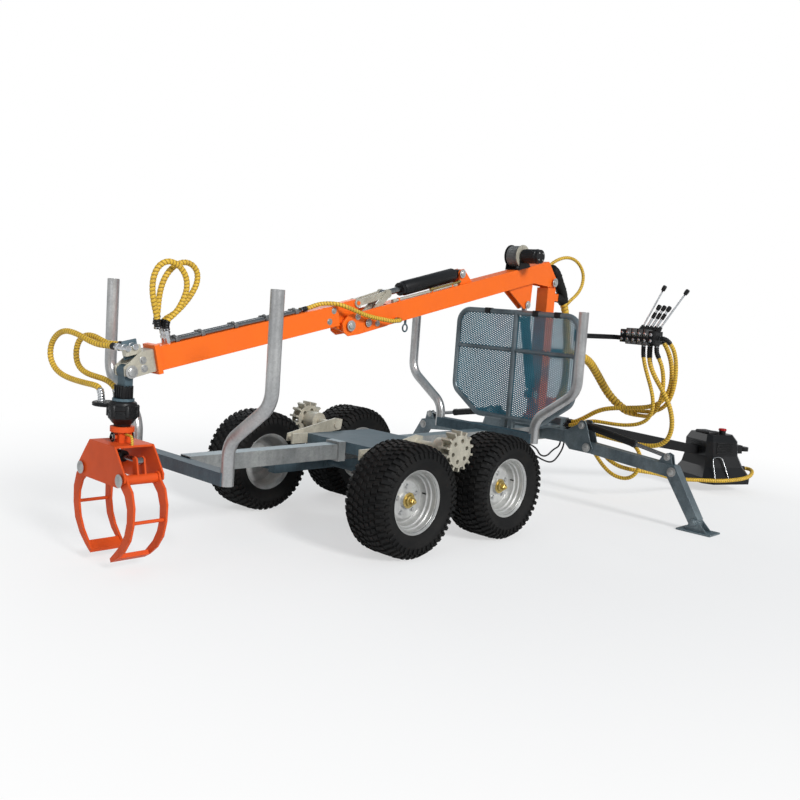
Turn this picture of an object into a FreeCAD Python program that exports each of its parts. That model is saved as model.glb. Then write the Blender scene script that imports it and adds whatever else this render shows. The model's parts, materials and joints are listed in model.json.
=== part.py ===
import FreeCAD, Part
import math
import os
import re
import Sketcher

# Forestry trailer with a folding crane, for an all-terrain vehicle.
# Millimetres.  +X is forwards (towards the towing eye), +Y is left, +Z is up, Z = 0 is the ground.
# Everything is first built with X = 0 midway between the wheels of a bogie.  At the end all sub-parts
# move together along X, so that the origin lies under the middle of the machine's length.

Vec = FreeCAD.Vector
doc = FreeCAD.newDocument("forestry_trailer")
sheet = doc.addObject("Spreadsheet::Sheet", "Dimensions")

DRIVING_DIMENSIONS = {
    # general fits
    "running_fit": 0.05,          # radial play of a shaft in its bore
    "side_play": 0.3,             # gap between faces that slide on each other
    "sheet_wall": 5,              # wall of the square tubes
    "pin_radius": 12,
    # wheels
    "tyre_radius": 290,
    "tyre_width": 270,
    "axle_spacing": 736,          # between the two wheels of a bogie
    "track": 1186,                # between the tyres' middles, left to right
    "rim_radius": 150,            # barrel, where the tyre's bead sits
    "rim_flange_radius": 168,
    "rim_width": 196,             # between the flanges
    "rim_flange": 8,
    "rim_wall": 6,
    "hub_radius": 42,
    "hub_length": 105,
    "hub_cap_radius": 26,
    "hub_cap_length": 26,
    "stub_radius": 20,
    # bogies and axle
    "bogie_beam_width": 60,
    "bogie_beam_depth": 90,
    "bogie_beam_gap": 28,         # between beam and tyre
    "axle_section": 86,
    "bogie_pin_radius": 30,
    # frame
    "spine_section": 92,
    "spine_top": 480,
    "spine_rear": -320,
    "spine_front": 1830,
    "collar_length": 48,
    "collar_wall": 8,
    "deck_rear": -270,
    "deck_front": 220,
    "deck_width": 540,
    "deck_depth": 60,
    "deck_rise": 5.3,             # deck top above the spine
    "bunk_depth": 60,
    "bunk_length": 70,
    "rear_bunk_station": -1287,
    "rear_bunk_top": 466,
    "front_bunk_station": 1005,
    "front_bunk_top": 510,
    # stakes
    "stake_radius": 30,
    "stake_wall": 3,
    "stake_foot": 389,            # half the distance between the stakes' feet
    "stake_head": 673,            # half the distance between their heads
    "stake_top": 1281,
    "stake_lower_bend": 600,
    "stake_upper_bend": 800,
    "stake_bend_radius": 130,
    "stake_drop": 60,             # tube below the bunk's top
    # headboard
    "headboard_station": 1250,
    "headboard_tube": 18,
    "headboard_half": 490,
    "headboard_top": 1249,
    "headboard_side_foot": 700,
    "headboard_foot": 545,
    "headboard_foot_half": 270,
    "headboard_corner": 90,
    "headboard_rail": 1000,
    "mesh_thickness": 3,
    "mesh_columns": 8,            # the panel's openings, drawn coarser than the woven original
    "mesh_rows": 6,
    "mesh_strand": 12,
    # friction drive between the tyres
    "drum_radius": 86,
    "drum_tooth_reach": 108,
    "drum_height": 510,
    "drum_outer_face": 640,
    "drum_width": 64,
    "drum_teeth": 14,
    "drum_tooth_width": 12,
    "drum_shaft_radius": 20,
    "drum_hole_radius": 12,
    "drum_hole_circle": 56,
    "drive_pivot_station": -350,
    "drive_pivot_height": 458,
    "drive_arm_out": 330,         # from the middle to each drive lever
    "drive_cylinder_height": 436,
    "drive_cylinder_radius": 20,
    # crane base and column
    "column_station": 1560,
    "column_length": 90,
    "column_top": 1430,
    "boom_pin_radius": 18,
    "base_plate": 260,
    "base_plate_thickness": 15,
    "slew_ring_radius": 95,
    "slew_ring_height": 40,
    # stabiliser legs
    "leg_station": 1600,
    "leg_hinge_out": 437,
    "leg_hinge_height": 394,
    "leg_knee_out": 1045,
    "leg_knee_height": 338,
    "leg_ankle_out": 1222,
    "leg_ankle_height": 60,
    "leg_section": 72,
    "leg_barrel_out": 386,
    "leg_barrel_height": 535,
    "leg_rod_out": 1000,
    "leg_rod_height": 424,
    "leg_barrel_radius": 24,
    "leg_barrel_length": 386,
    "leg_piston_radius": 13,
    "foot_length": 220,
    "foot_width": 140,
    "foot_thickness": 10,
    "bracket_plate": 8,
    "hose_manifold_length": 100,
    # boom, in its own frame: reach runs along the boom from its pivot, rise is square to it
    "boom_pivot_station": 1578,
    "boom_pivot_height": 1470,
    "boom_droop": 13.3,           # degrees below level at rest
    "boom_depth": 115,
    "boom_width": 90,
    "boom_rise": 91,              # boom axis above its pivot
    "boom_start": 60,
    "boom_end": 1725,
    "cheek_plate": 8,
    "knuckle_reach": 1905,
    "lift_eye_reach": 292,
    "lift_eye_rise": -100,
    "lift_foot_station": 1484,
    "lift_foot_height": 700,
    "lift_barrel_radius": 32,
    "lift_barrel_length": 540,
    "lift_piston_radius": 18,
    "fold_foot_reach": 932,
    "fold_foot_rise": 212,
    "fold_barrel_radius": 34,
    "fold_barrel_length": 520,
    "fold_piston_radius": 18,
    "rocker_reach": 1772,
    "rocker_rise": 80,
    "rocker_length": 233,
    "rocker_lean": 32.4,          # degrees from the boom's axis, opening towards the column
    "winch_reach": 335,
    "winch_rise": 229,
    "winch_drum_radius": 72,
    "winch_drum_width": 100,
    "winch_motor_radius": 44,
    "winch_motor_length": 130,
    # stick, in its own frame: reach runs along the stick from the knuckle pin
    "stick_droop": 12.5,
    "stick_depth": 110,
    "stick_width": 80,
    "stick_rise": 66,
    "stick_start": 60,
    "stick_end": 1173,
    "stick_collar": 12,
    "stick_ear_reach": -102,
    "stick_ear_rise": 103,
    "extension_inside": 773,
    "extension_outside": 62,
    "tip_pin_reach": 1304,
    "tip_pin_rise": 41,
    # rotator and grapple
    "rotator_station": -1585,
    "hanger_width": 62,
    "hanger_foot": 745,
    "rotator_radius": 63,
    "rotator_foot": 632,
    "grapple_pin_height": 577,
    "grapple_half_length": 96,    # to the outer faces of the side plates
    "grapple_plate": 8,
    "grapple_top": 562,
    "jaw_pivot_out": 172,
    "jaw_pivot_height": 424,
    "jaw_arm_gap": 4,
    "jaw_arm_thickness": 10,
    "jaw_cylinder_height": 500,
    "jaw_eye_out": 152,
    "jaw_barrel_radius": 24,
    "jaw_barrel_length": 175,
    "jaw_piston_radius": 11,
    # drawbar, power unit and controls
    "drawbar_hinge_station": 1900,
    "drawbar_swing": 24.5,        # degrees to the right at rest
    "drawbar_length": 1640,
    "drawbar_section": 80,
    "drawbar_height": 430,
    "drawbar_nose_height": 300,
    "towing_eye_radius": 45,
    "towing_eye_bore": 14,
    "towing_eye_thickness": 30,
    "power_unit_reach": 1370,
    "power_unit_length": 430,
    "power_unit_width": 470,
    "power_unit_height": 250,
    "valve_station": 1760,
    "valve_out": 640,
    "valve_height": 1150,
    "valve_bank_length": 250,
    "valve_bank_depth": 110,
    "valve_bar": 30,
}

ALIASES = sorted(DRIVING_DIMENSIONS)
for row, (alias, size) in enumerate(DRIVING_DIMENSIONS.items(), start=1):
    sheet.set("A%d" % row, alias)
    sheet.set("B%d" % row, str(size))
    sheet.setAlias("B%d" % row, alias)
doc.recompute()


def size(alias):
    """The number that the spreadsheet holds under an alias."""
    return float(sheet.get(alias))


def refs(expression):
    """Put the spreadsheet's name in front of each alias in an expression."""
    return re.sub(r"[a-z][a-z_]*", lambda m: "Dimensions." + m.group() if m.group() in DRIVING_DIMENSIONS
                  else m.group(), str(expression))


def bind(obj, bindings):
    """Tie properties of an object to expressions in the spreadsheet's aliases."""
    for prop, expression in bindings.items():
        obj.setExpression(prop, refs(expression))


TURN_TO = {
    "x": FreeCAD.Rotation(Vec(0, 1, 0), 90),
    "y": FreeCAD.Rotation(Vec(1, 0, 0), -90),
    "z": FreeCAD.Rotation(),
}


def put(obj, at, turn=None):
    """Place an object at a corner or centre given as three expressions."""
    if turn is not None:
        obj.Placement.Rotation = turn
    bind(obj, {".Placement.Base." + axis: value for axis, value in zip("xyz", at)})
    return obj


def block(name, lengths, low):
    """A box from its lowest corner."""
    obj = doc.addObject("Part::Box", name)
    bind(obj, dict(zip(("Length", "Width", "Height"), lengths)))
    return put(obj, low)


def middle_block(name, lengths, centre):
    """A box from its centre."""
    low = ["(%s) - (%s) / 2" % (c, length) for c, length in zip(centre, lengths)]
    return block(name, lengths, low)


def rod(name, axis, radius, length, start):
    """A cylinder that runs along an axis from its start point."""
    obj = doc.addObject("Part::Cylinder", name)
    bind(obj, {"Radius": radius, "Height": length})
    return put(obj, start, TURN_TO[axis])


def middle_rod(name, axis, radius, length, centre):
    """A cylinder from its centre."""
    start = list(centre)
    index = "xyz".index(axis)
    start[index] = "(%s) - (%s) / 2" % (centre[index], length)
    return rod(name, axis, radius, length, start)


def fuse(name, objects):
    obj = doc.addObject("Part::MultiFuse", name)
    obj.Shapes = objects
    return obj


def cut(name, base, tool):
    obj = doc.addObject("Part::Cut", name)
    obj.Base = base
    obj.Tool = tool
    return obj


SKETCH_TURN = {
    "xz": FreeCAD.Rotation(Vec(1, 0, 0), 90),
    "yz": FreeCAD.Rotation(Vec(1, 1, 1), 120),
    "xy": FreeCAD.Rotation(),
}
SKETCH_NORMAL = {"xz": Vec(0, 1, 0), "yz": Vec(1, 0, 0), "xy": Vec(0, 0, 1)}
NORMAL_AXIS = {"xz": "y", "yz": "x", "xy": "z"}


def outline(name, plane, corners, holes=()):
    """A closed sketch whose corners are pairs of expressions; holes are (across, up, radius)."""
    sketch = doc.addObject("Sketcher::SketchObject", name)
    sketch.Placement.Rotation = SKETCH_TURN[plane]
    numbers = [[value_of(c) for c in corner] for corner in corners]
    count = len(corners)
    for i in range(count):
        a = Vec(numbers[i][0], numbers[i][1], 0)
        b = Vec(numbers[(i + 1) % count][0], numbers[(i + 1) % count][1], 0)
        sketch.addGeometry(Part.LineSegment(a, b), False)
    for i in range(count):
        sketch.addConstraint(Sketcher.Constraint("Coincident", i, 2, (i + 1) % count, 1))
    for i in range(count):
        for kind, number, expression in zip(("DistanceX", "DistanceY"), numbers[i], corners[i]):
            index = sketch.addConstraint(Sketcher.Constraint(kind, -1, 1, i, 1, number))
            sketch.setExpression("Constraints[%d]" % index, refs(expression))
    for across, up, radius in holes:
        x, y, r = value_of(across), value_of(up), value_of(radius)
        circle = sketch.addGeometry(Part.Circle(Vec(x, y, 0), Vec(0, 0, 1), r), False)
        for kind, number, expression in (("DistanceX", x, across), ("DistanceY", y, up)):
            index = sketch.addConstraint(Sketcher.Constraint(kind, -1, 1, circle, 3, number))
            sketch.setExpression("Constraints[%d]" % index, refs(expression))
        index = sketch.addConstraint(Sketcher.Constraint("Radius", circle, r))
        sketch.setExpression("Constraints[%d]" % index, refs(radius))
    return sketch


def value_of(expression):
    """The number that an expression in aliases gives now."""
    return float(sheet.evalExpression(refs(expression)))


def plate(name, plane, corners, thickness, start, holes=()):
    """A flat plate: an outline pushed along the normal of its plane."""
    sketch = outline(name + "_outline", plane, corners, holes)
    bind(sketch, {".Placement.Base." + NORMAL_AXIS[plane]: start})
    obj = doc.addObject("Part::Extrusion", name)
    obj.Base = sketch
    obj.DirMode = "Custom"
    obj.Dir = SKETCH_NORMAL[plane]
    obj.Solid = True
    bind(obj, {"LengthFwd": thickness})
    return obj


def turned(name, axis_x, axis_z, corners):
    """A solid turned about a level axis along Y; corners are (along, radius) pairs."""
    sketch = outline(name + "_profile", "yz", corners)
    obj = doc.addObject("Part::Revolution", name)
    obj.Source = sketch
    obj.Axis = Vec(0, 1, 0)
    obj.Base = Vec(0, 0, 0)
    obj.Angle = 360
    obj.Solid = True
    return put(obj, (axis_x, "0", axis_z))


def path_wire(points, radii, closed=False):
    """Straight runs joined by tangent arcs."""
    count = len(points)
    corners = range(count) if closed else range(1, count - 1)
    cuts = {}
    for i in corners:
        before = (points[i - 1] - points[i]).normalize()
        after = (points[(i + 1) % count] - points[i]).normalize()
        half = before.getAngle(after) / 2
        radius = radii[i] if isinstance(radii, (list, tuple)) else radii
        step = radius / math.tan(half)
        near = points[i] + before * step
        far = points[i] + after * step
        inward = (before + after).normalize()
        crown = points[i] + inward * (radius / math.sin(half) - radius)
        cuts[i] = (near, crown, far)
    edges = []
    last = cuts[0][2] if closed else points[0]
    order = list(range(1, count)) + [0] if closed else list(range(1, count - 1))
    for i in order:
        near, crown, far = cuts[i]
        if (near - last).Length > 1e-6:
            edges.append(Part.LineSegment(last, near).toShape())
        edges.append(Part.Arc(near, crown, far).toShape())
        last = far
    if not closed:
        edges.append(Part.LineSegment(last, points[-1]).toShape())
    return Part.Wire(edges)


def swept_round(wire, start, direction, radius):
    """A round bar along a wire."""
    circle = Part.Wire([Part.Circle(start, direction, radius).toShape()])
    return wire.makePipeShell([circle], True, False)


NODES = {}


def node(label, obj):
    """Name a finished sub-part."""
    obj.Label = label
    NODES[label] = obj
    return obj


def shape_node(label, shape):
    """A sub-part whose shape is set directly."""
    obj = doc.addObject("Part::Feature", label)
    obj.Shape = shape
    return node(label, obj)


SIDES = (("left", 1), ("right", -1))


# ---------------------------------------------------------------- wheels

def make_tyre(label, station, side):
    half = "tyre_width / 2"
    bead = "rim_width / 2"
    corners = [
        ("-(%s)" % bead, "rim_radius"),
        ("-(%s)" % bead, "rim_flange_radius + 4"),
        ("-(%s) + 4" % half, "tyre_radius * 0.72"),
        ("-(%s)" % half, "tyre_radius * 0.8"),
        ("-(%s) + 6" % half, "tyre_radius * 0.9"),
        ("-(%s) + 28" % half, "tyre_radius - 10"),
        ("-(%s) + 70" % half, "tyre_radius"),
        ("%s - 70" % half, "tyre_radius"),
        ("%s - 28" % half, "tyre_radius - 10"),
        ("%s - 6" % half, "tyre_radius * 0.9"),
        (half, "tyre_radius * 0.8"),
        ("%s - 4" % half, "tyre_radius * 0.72"),
        (bead, "rim_flange_radius + 4"),
        (bead, "rim_radius"),
    ]
    obj = turned(label + "_body", station, "tyre_radius", corners)
    bind(obj, {".Placement.Base.y": "%d * track / 2" % side})
    return node(label, obj)


def make_rim(label, station, side):
    """Deep-dished rim; its disc stands near the outer hub face."""
    sign = "%d" % side
    bead = "rim_width / 2"
    corners = [
        ("-(%s) - rim_flange" % bead, "rim_radius - rim_wall"),
        ("-(%s) - rim_flange" % bead, "rim_flange_radius"),
        ("-(%s)" % bead, "rim_flange_radius"),
        ("-(%s)" % bead, "rim_radius"),
        (bead, "rim_radius"),
        (bead, "rim_flange_radius"),
        ("%s + rim_flange" % bead, "rim_flange_radius"),
        ("%s + rim_flange" % bead, "rim_radius - rim_wall"),
        ("%s * 12" % sign, "rim_radius - rim_wall"),
        ("%s * 28" % sign, "rim_radius * 0.72"),
        ("%s * 28" % sign, "hub_radius"),
        ("%s * 45" % sign, "hub_radius"),
        ("%s * 45" % sign, "hub_cap_radius"),
        ("%s * (45 + hub_cap_length)" % sign, "hub_cap_radius"),
        ("%s * (45 + hub_cap_length)" % sign, "0"),
        ("%s * (45 - rim_flange)" % sign, "0"),
        ("%s * (45 - rim_flange)" % sign, "stub_radius + running_fit"),
        ("%s * (45 - hub_length)" % sign, "stub_radius + running_fit"),
        ("%s * (45 - hub_length)" % sign, "hub_radius"),
        ("%s * 20" % sign, "hub_radius"),
        ("%s * 20" % sign, "rim_radius * 0.72"),
        ("%s * 2" % sign, "rim_radius - rim_wall"),
    ]
    if side < 0:
        corners = [corners[7], corners[6], corners[5], corners[4], corners[3], corners[2], corners[1],
                   corners[0]] + corners[8:]
    obj = turned(label + "_body", station, "tyre_radius", corners)
    bind(obj, {".Placement.Base.y": "%d * track / 2" % side})
    return node(label, obj)


for end, station in (("front", "axle_spacing / 2"), ("rear", "-axle_spacing / 2")):
    for side_name, side in SIDES:
        make_tyre("tyre_%s_%s" % (end, side_name), station, side)
        make_rim("rim_%s_%s" % (end, side_name), station, side)


# ---------------------------------------------------------------- bogies and axle

BEAM_OUTER = "(track / 2 - tyre_width / 2 - bogie_beam_gap)"


def make_bogie_beam(side_name, side):
    centre_y = "%d * (%s - bogie_beam_width / 2)" % (side, BEAM_OUTER)
    length = "axle_spacing + bogie_beam_depth"
    beam = middle_block("bogie_bar_" + side_name, (length, "bogie_beam_width", "bogie_beam_depth"),
                        ("0", centre_y, "tyre_radius"))
    pieces = [beam]
    for end, station in (("front", "axle_spacing / 2"), ("rear", "-axle_spacing / 2")):
        reach = "track / 2 + 30 - (%s)" % BEAM_OUTER
        centre = "%d * ((%s) + (%s) / 2)" % (side, BEAM_OUTER, reach)
        pieces.append(middle_rod("stub_%s_%s" % (end, side_name), "y", "stub_radius", reach,
                                 (station, centre, "tyre_radius")))
        collar = "track / 2 + 45 - hub_length - (%s) - side_play" % BEAM_OUTER
        collar_y = "%d * ((%s) + (%s) / 2)" % (side, BEAM_OUTER, collar)
        pieces.append(middle_rod("stub_collar_%s_%s" % (end, side_name), "y", "hub_radius", collar,
                                 (station, collar_y, "tyre_radius")))
    body = fuse("bogie_solid_" + side_name, pieces)
    bore = middle_rod("bogie_bore_" + side_name, "y", "bogie_pin_radius + running_fit", "bogie_beam_width * 2",
                      ("0", centre_y, "tyre_radius"))
    return node("bogie_beam_" + side_name, cut("bogie_" + side_name, body, bore))


for side_name, side in SIDES:
    make_bogie_beam(side_name, side)

axle_height = "spine_top - spine_section - axle_section"
axle_span = "2 * (%s - bogie_beam_width - side_play)" % BEAM_OUTER
axle_parts = [
    block("axle_tube", ("axle_section", axle_span, "axle_section"),
          ("-axle_section / 2", "-(%s) / 2" % axle_span, axle_height)),
    middle_rod("bogie_pin", "y", "bogie_pin_radius", "2 * (%s) + 16" % BEAM_OUTER, ("0", "0", "tyre_radius")),
]
for side_name, side in SIDES:
    axle_parts.append(middle_block("axle_hanger_" + side_name, ("axle_section", "20", "axle_section + 30"),
                                   ("0", "%d * ((%s) / 2 - 10)" % (side, axle_span),
                                    "tyre_radius + 25")))
node("bogie_axle", fuse("axle_solid", axle_parts))


# ---------------------------------------------------------------- frame

spine_low = "spine_top - spine_section"
spine_outer = block("spine_outer", ("spine_front - spine_rear", "spine_section", "spine_section"),
                    ("spine_rear", "-spine_section / 2", spine_low))
spine_collar = block("spine_collar",
                     ("collar_length", "spine_section + 2 * collar_wall", "spine_section + 2 * collar_wall"),
                     ("spine_rear", "-spine_section / 2 - collar_wall", "%s - collar_wall" % spine_low))
spine_hollow = block("spine_hollow", ("spine_front - spine_rear + 2", "spine_section - 2 * sheet_wall",
                                      "spine_section - 2 * sheet_wall"),
                     ("spine_rear - 1", "-spine_section / 2 + sheet_wall", "%s + sheet_wall" % spine_low))
node("spine_beam", cut("spine", fuse("spine_solid", [spine_outer, spine_collar]), spine_hollow))

inner_section = "spine_section - 2 * sheet_wall - 2 * side_play"
extension_rear = "rear_bunk_station + bunk_length / 2"
extension_outer = block("rear_beam_outer", ("600 + spine_rear - (%s)" % extension_rear, inner_section,
                                            inner_section),
                        (extension_rear, "-(%s) / 2" % inner_section, "%s + sheet_wall + side_play" % spine_low))
extension_hollow = block("rear_beam_hollow", ("600 + spine_rear - (%s) + 2" % extension_rear,
                                              "%s - 2 * sheet_wall" % inner_section,
                                              "%s - 2 * sheet_wall" % inner_section),
                         ("%s - 1" % extension_rear, "-(%s) / 2 + sheet_wall" % inner_section,
                          "%s + 2 * sheet_wall + side_play" % spine_low))
node("rear_extension_beam", cut("rear_beam", extension_outer, extension_hollow))

deck_top = "spine_top + deck_rise"
deck_outer = block("deck_outer", ("deck_front - deck_rear", "deck_width", "deck_depth"),
                   ("deck_rear", "-deck_width / 2", "%s - deck_depth" % deck_top))
deck_hollow = block("deck_hollow", ("deck_front - deck_rear - 2 * sheet_wall", "deck_width - 2 * sheet_wall",
                                    "deck_depth"),
                    ("deck_rear + sheet_wall", "-deck_width / 2 + sheet_wall",
                     "%s - deck_depth - sheet_wall" % deck_top))
deck_spine_gap = block("deck_spine_gap", ("deck_front - deck_rear + 2", "spine_section + 2 * collar_wall",
                                          "deck_depth"),
                       ("deck_rear - 1", "-spine_section / 2 - collar_wall", "spine_top - deck_depth"))
node("deck_box", cut("deck", cut("deck_shell", deck_outer, deck_hollow), deck_spine_gap))


def make_bunk(label, station, top, saddle):
    beam = block(label + "_beam", ("bunk_length", "2 * stake_foot", "bunk_depth"),
                 ("%s - bunk_length / 2" % station, "-stake_foot", "%s - bunk_depth" % top))
    tools = [middle_rod(label + "_cope_" + name, "z", "stake_radius", "4 * bunk_depth",
                        (station, "%d * stake_foot" % side, top)) for name, side in SIDES]
    if saddle:
        tools.append(middle_block(label + "_saddle", ("2 * bunk_length", "spine_section", "spine_section"),
                                  (station, "0", "spine_top - spine_section / 2")))
    return node(label, cut(label + "_coped", beam, fuse(label + "_tools", tools)))


make_bunk("rear_bunk", "rear_bunk_station", "rear_bunk_top", False)
make_bunk("front_bunk", "front_bunk_station", "front_bunk_top", True)


def make_stakes(label, station, top_of_bunk):
    """A pair of bent tubes, open at the top, wider apart at their heads than at their feet."""
    tubes = []
    for _, side in SIDES:
        points = [
            Vec(station, side * size("stake_foot"), top_of_bunk - size("stake_drop")),
            Vec(station, side * size("stake_foot"), size("stake_lower_bend")),
            Vec(station, side * size("stake_head"), size("stake_upper_bend")),
            Vec(station, side * size("stake_head"), size("stake_top")),
        ]
        wire = path_wire(points, size("stake_bend_radius"))
        outer = swept_round(wire, points[0], Vec(0, 0, 1), size("stake_radius"))
        inner = swept_round(wire, points[0], Vec(0, 0, 1), size("stake_radius") - size("stake_wall"))
        tubes.append(outer.cut(inner))
    return shape_node(label, Part.makeCompound(tubes))


make_stakes("rear_stakes", size("rear_bunk_station"), size("rear_bunk_top"))
make_stakes("front_stakes", size("front_bunk_station"), size("front_bunk_top"))


# ---------------------------------------------------------------- headboard

def headboard_points():
    x = size("headboard_station")
    half = size("headboard_half")
    ring = [(size("headboard_foot_half"), size("headboard_foot")), (half, size("headboard_side_foot")),
            (half, size("headboard_top"))]
    points = [Vec(x, y, z) for y, z in ring]
    points += [Vec(x, -y, z) for y, z in reversed(ring)]
    return points


def make_headboard():
    points = headboard_points()
    tube = size("headboard_tube")
    corner = size("headboard_corner")
    radii = [corner, corner, corner, corner, corner, corner]
    wire = path_wire(points, radii, closed=True)
    start = wire.Edges[0].valueAt(wire.Edges[0].FirstParameter)
    along = wire.Edges[0].tangentAt(wire.Edges[0].FirstParameter)
    frame = swept_round(wire, start, along, tube)
    x = size("headboard_station")
    foot = size("headboard_foot")
    top = size("headboard_top")
    upright = Part.makeCylinder(tube, top - foot, Vec(x, 0, foot))
    rail_half = size("headboard_half")
    rail = Part.makeCylinder(tube * 0.8, 2 * rail_half, Vec(x, -rail_half, size("headboard_rail")), Vec(0, 1, 0))
    shape = frame.fuse([upright, rail])
    spine = size("spine_section")
    for _, side in SIDES:
        low = Vec(x - tube, side * (spine / 2 - 14) - 14, size("spine_top"))
        shape = shape.fuse(Part.makeBox(2 * tube, 28, foot - size("spine_top"), low))
    clamp = Part.makeBox(18, 80, 60, Vec(x, -375, 980))
    shape = shape.fuse(clamp).removeSplitter()
    panel = Part.Face(wire).extrude(Vec(size("mesh_thickness"), 0, 0))
    panel.translate(Vec(-size("mesh_thickness") / 2, 0, 0))
    return shape, panel.cut(shape).cut(mesh_openings(wire.BoundBox))


def mesh_openings(box):
    """Square openings over the panel, apart from a rim along the tube."""
    columns = int(size("mesh_columns"))
    rows = int(size("mesh_rows"))
    rim = size("headboard_tube") + size("mesh_strand")
    strand = size("mesh_strand")
    wide = (box.YLength - 2 * rim) / columns
    high = (box.ZLength - 2 * rim) / rows
    openings = []
    for column in range(columns):
        for row in range(rows):
            low = Vec(box.XMin - 10, box.YMin + rim + column * wide + strand / 2,
                      box.ZMin + rim + row * high + strand / 2)
            corner_cell = row < 2 and column in (0, columns - 1)
            if not corner_cell:
                openings.append(Part.makeBox(20, wide - strand, high - strand, low))
    return Part.makeCompound(openings)


headboard_frame, headboard_mesh = make_headboard()
shape_node("headboard_frame", headboard_frame)
shape_node("headboard_mesh", headboard_mesh)


# ---------------------------------------------------------------- friction drive

def make_drum(side_name, side):
    """A toothed drum that hangs between the two tyres of one side, just clear of both."""
    outer = side * size("drum_outer_face")
    width = size("drum_width")
    inner = outer - side * width
    low = min(outer, inner)
    z = size("drum_height")
    along = Vec(0, 1, 0)
    centre = Vec(0, low, z)
    tube = Part.makeCylinder(size("drum_radius") * 0.7, width, centre, along)
    disc = size("cheek_plate")
    discs = [Part.makeCylinder(size("drum_radius"), disc, Vec(0, y, z), along)
             for y in (low, low + width - disc)]
    body = tube.fuse(discs)
    count = int(size("drum_teeth"))
    tooth = size("drum_tooth_width")
    reach = size("drum_tooth_reach")
    root = size("drum_radius") * 0.6
    for i in range(count):
        bar = Part.makeBox(tooth, width, reach - root, Vec(-tooth / 2, low, root))
        bar.rotate(Vec(0, 0, 0), along, 360.0 * i / count)
        bar.translate(Vec(0, 0, z))
        body = body.fuse(bar)
    holes = []
    for i in range(6):
        angle = math.radians(60 * i + 15)
        x = size("drum_hole_circle") * math.sin(angle)
        up = size("drum_hole_circle") * math.cos(angle)
        holes.append(Part.makeCylinder(size("drum_hole_radius"), width + 2, Vec(x, low - 1, z + up), along))
    bore = Part.makeCylinder(size("drum_shaft_radius") + size("running_fit"), width - disc,
                             Vec(0, low if side > 0 else low + disc, z), along)
    body = body.cut(holes + [bore]).removeSplitter()
    return shape_node("drive_drum_" + side_name, body)


for side_name, side in SIDES:
    make_drum(side_name, side)


PULL_STATION = -200            # where the cylinder pulls on the right lever


def make_drive_arms():
    """A lever on each side of the deck: pivot pin at its rear, the drum's shaft and motor at its front."""
    z = size("drum_height")
    along = Vec(0, 1, 0)
    pivot_x = size("drive_pivot_station")
    pivot_z = size("drive_pivot_height")
    thick = size("cheek_plate")
    out = size("drive_arm_out")
    deck_side = size("deck_width") / 2 + size("side_play")
    motor_length = 90
    pieces = []
    for _, side in SIDES:
        inner = size("drum_outer_face") - size("drum_width") - size("side_play")
        shaft_tip = size("drum_outer_face") - size("cheek_plate") - size("running_fit") - 2
        lever_ring = [Vec(pivot_x - 24, 0, pivot_z - 20), Vec(pivot_x + 24, 0, pivot_z - 24), Vec(36, 0, z - 26),
                      Vec(44, 0, z + 34), Vec(-10, 0, z + 44), Vec(pivot_x - 20, 0, pivot_z + 24)]
        lever = Part.Face(Part.makePolygon(lever_ring + [lever_ring[0]])).extrude(along * thick)
        lever.translate(Vec(0, side * out - thick / 2, 0))
        mount = Part.makeBox(size("deck_depth") + 110, 12, 56,
                             Vec(pivot_x - 30, min(side * deck_side, side * (deck_side + 12)), pivot_z - 28))
        spans = ((pivot_x, pivot_z, size("pin_radius"), deck_side, out + 14),
                 (0, z, size("drum_shaft_radius"), out - 10, shaft_tip),
                 (0, z, size("drum_radius") * 0.62, inner - motor_length, inner))
        pieces += [lever, mount]
        for x, height, radius, near, far in spans:
            start = Vec(x, min(side * near, side * far), height)
            pieces.append(Part.makeCylinder(radius, far - near, start, along))
    lug = Part.makeBox(36, thick, 70, Vec(PULL_STATION - 18, -out - thick / 2, size("drive_cylinder_height") - 16))
    pin = Part.makeCylinder(8, 46, Vec(PULL_STATION, -out, size("drive_cylinder_height")), along)
    return pieces[0].fuse(pieces[1:] + [lug, pin]).removeSplitter()


shape_node("drive_arms", make_drive_arms())


def make_drive_cylinder():
    """Pulls the right lever down: foot on the deck's side, eye on the lever's pin."""
    z = size("drive_cylinder_height")
    y = -size("drive_arm_out") + 30
    along = Vec(1, 0, 0)
    barrel = Part.makeCylinder(size("drive_cylinder_radius"), 170, Vec(-30, y, z), along)
    piston = Part.makeCylinder(9, 170, Vec(PULL_STATION, y, z), along)
    eye = Part.makeCylinder(18, 20, Vec(PULL_STATION, y - 10, z), Vec(0, 1, 0))
    bore = Part.makeCylinder(8 + size("running_fit"), 40, Vec(PULL_STATION, y - 20, z), Vec(0, 1, 0))
    deck_side = -size("deck_width") / 2 - size("side_play")
    foot = Part.makeBox(60, deck_side - y + 22, 50, Vec(130, y - 22, z - 25))
    return barrel.fuse([piston, eye, foot]).cut(bore)


shape_node("drive_cylinder", make_drive_cylinder())


# ---------------------------------------------------------------- crane base

ARM_NEAR = "spine_section / 2 + side_play"
EAR_NEAR = "leg_section / 2 + side_play"


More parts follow.
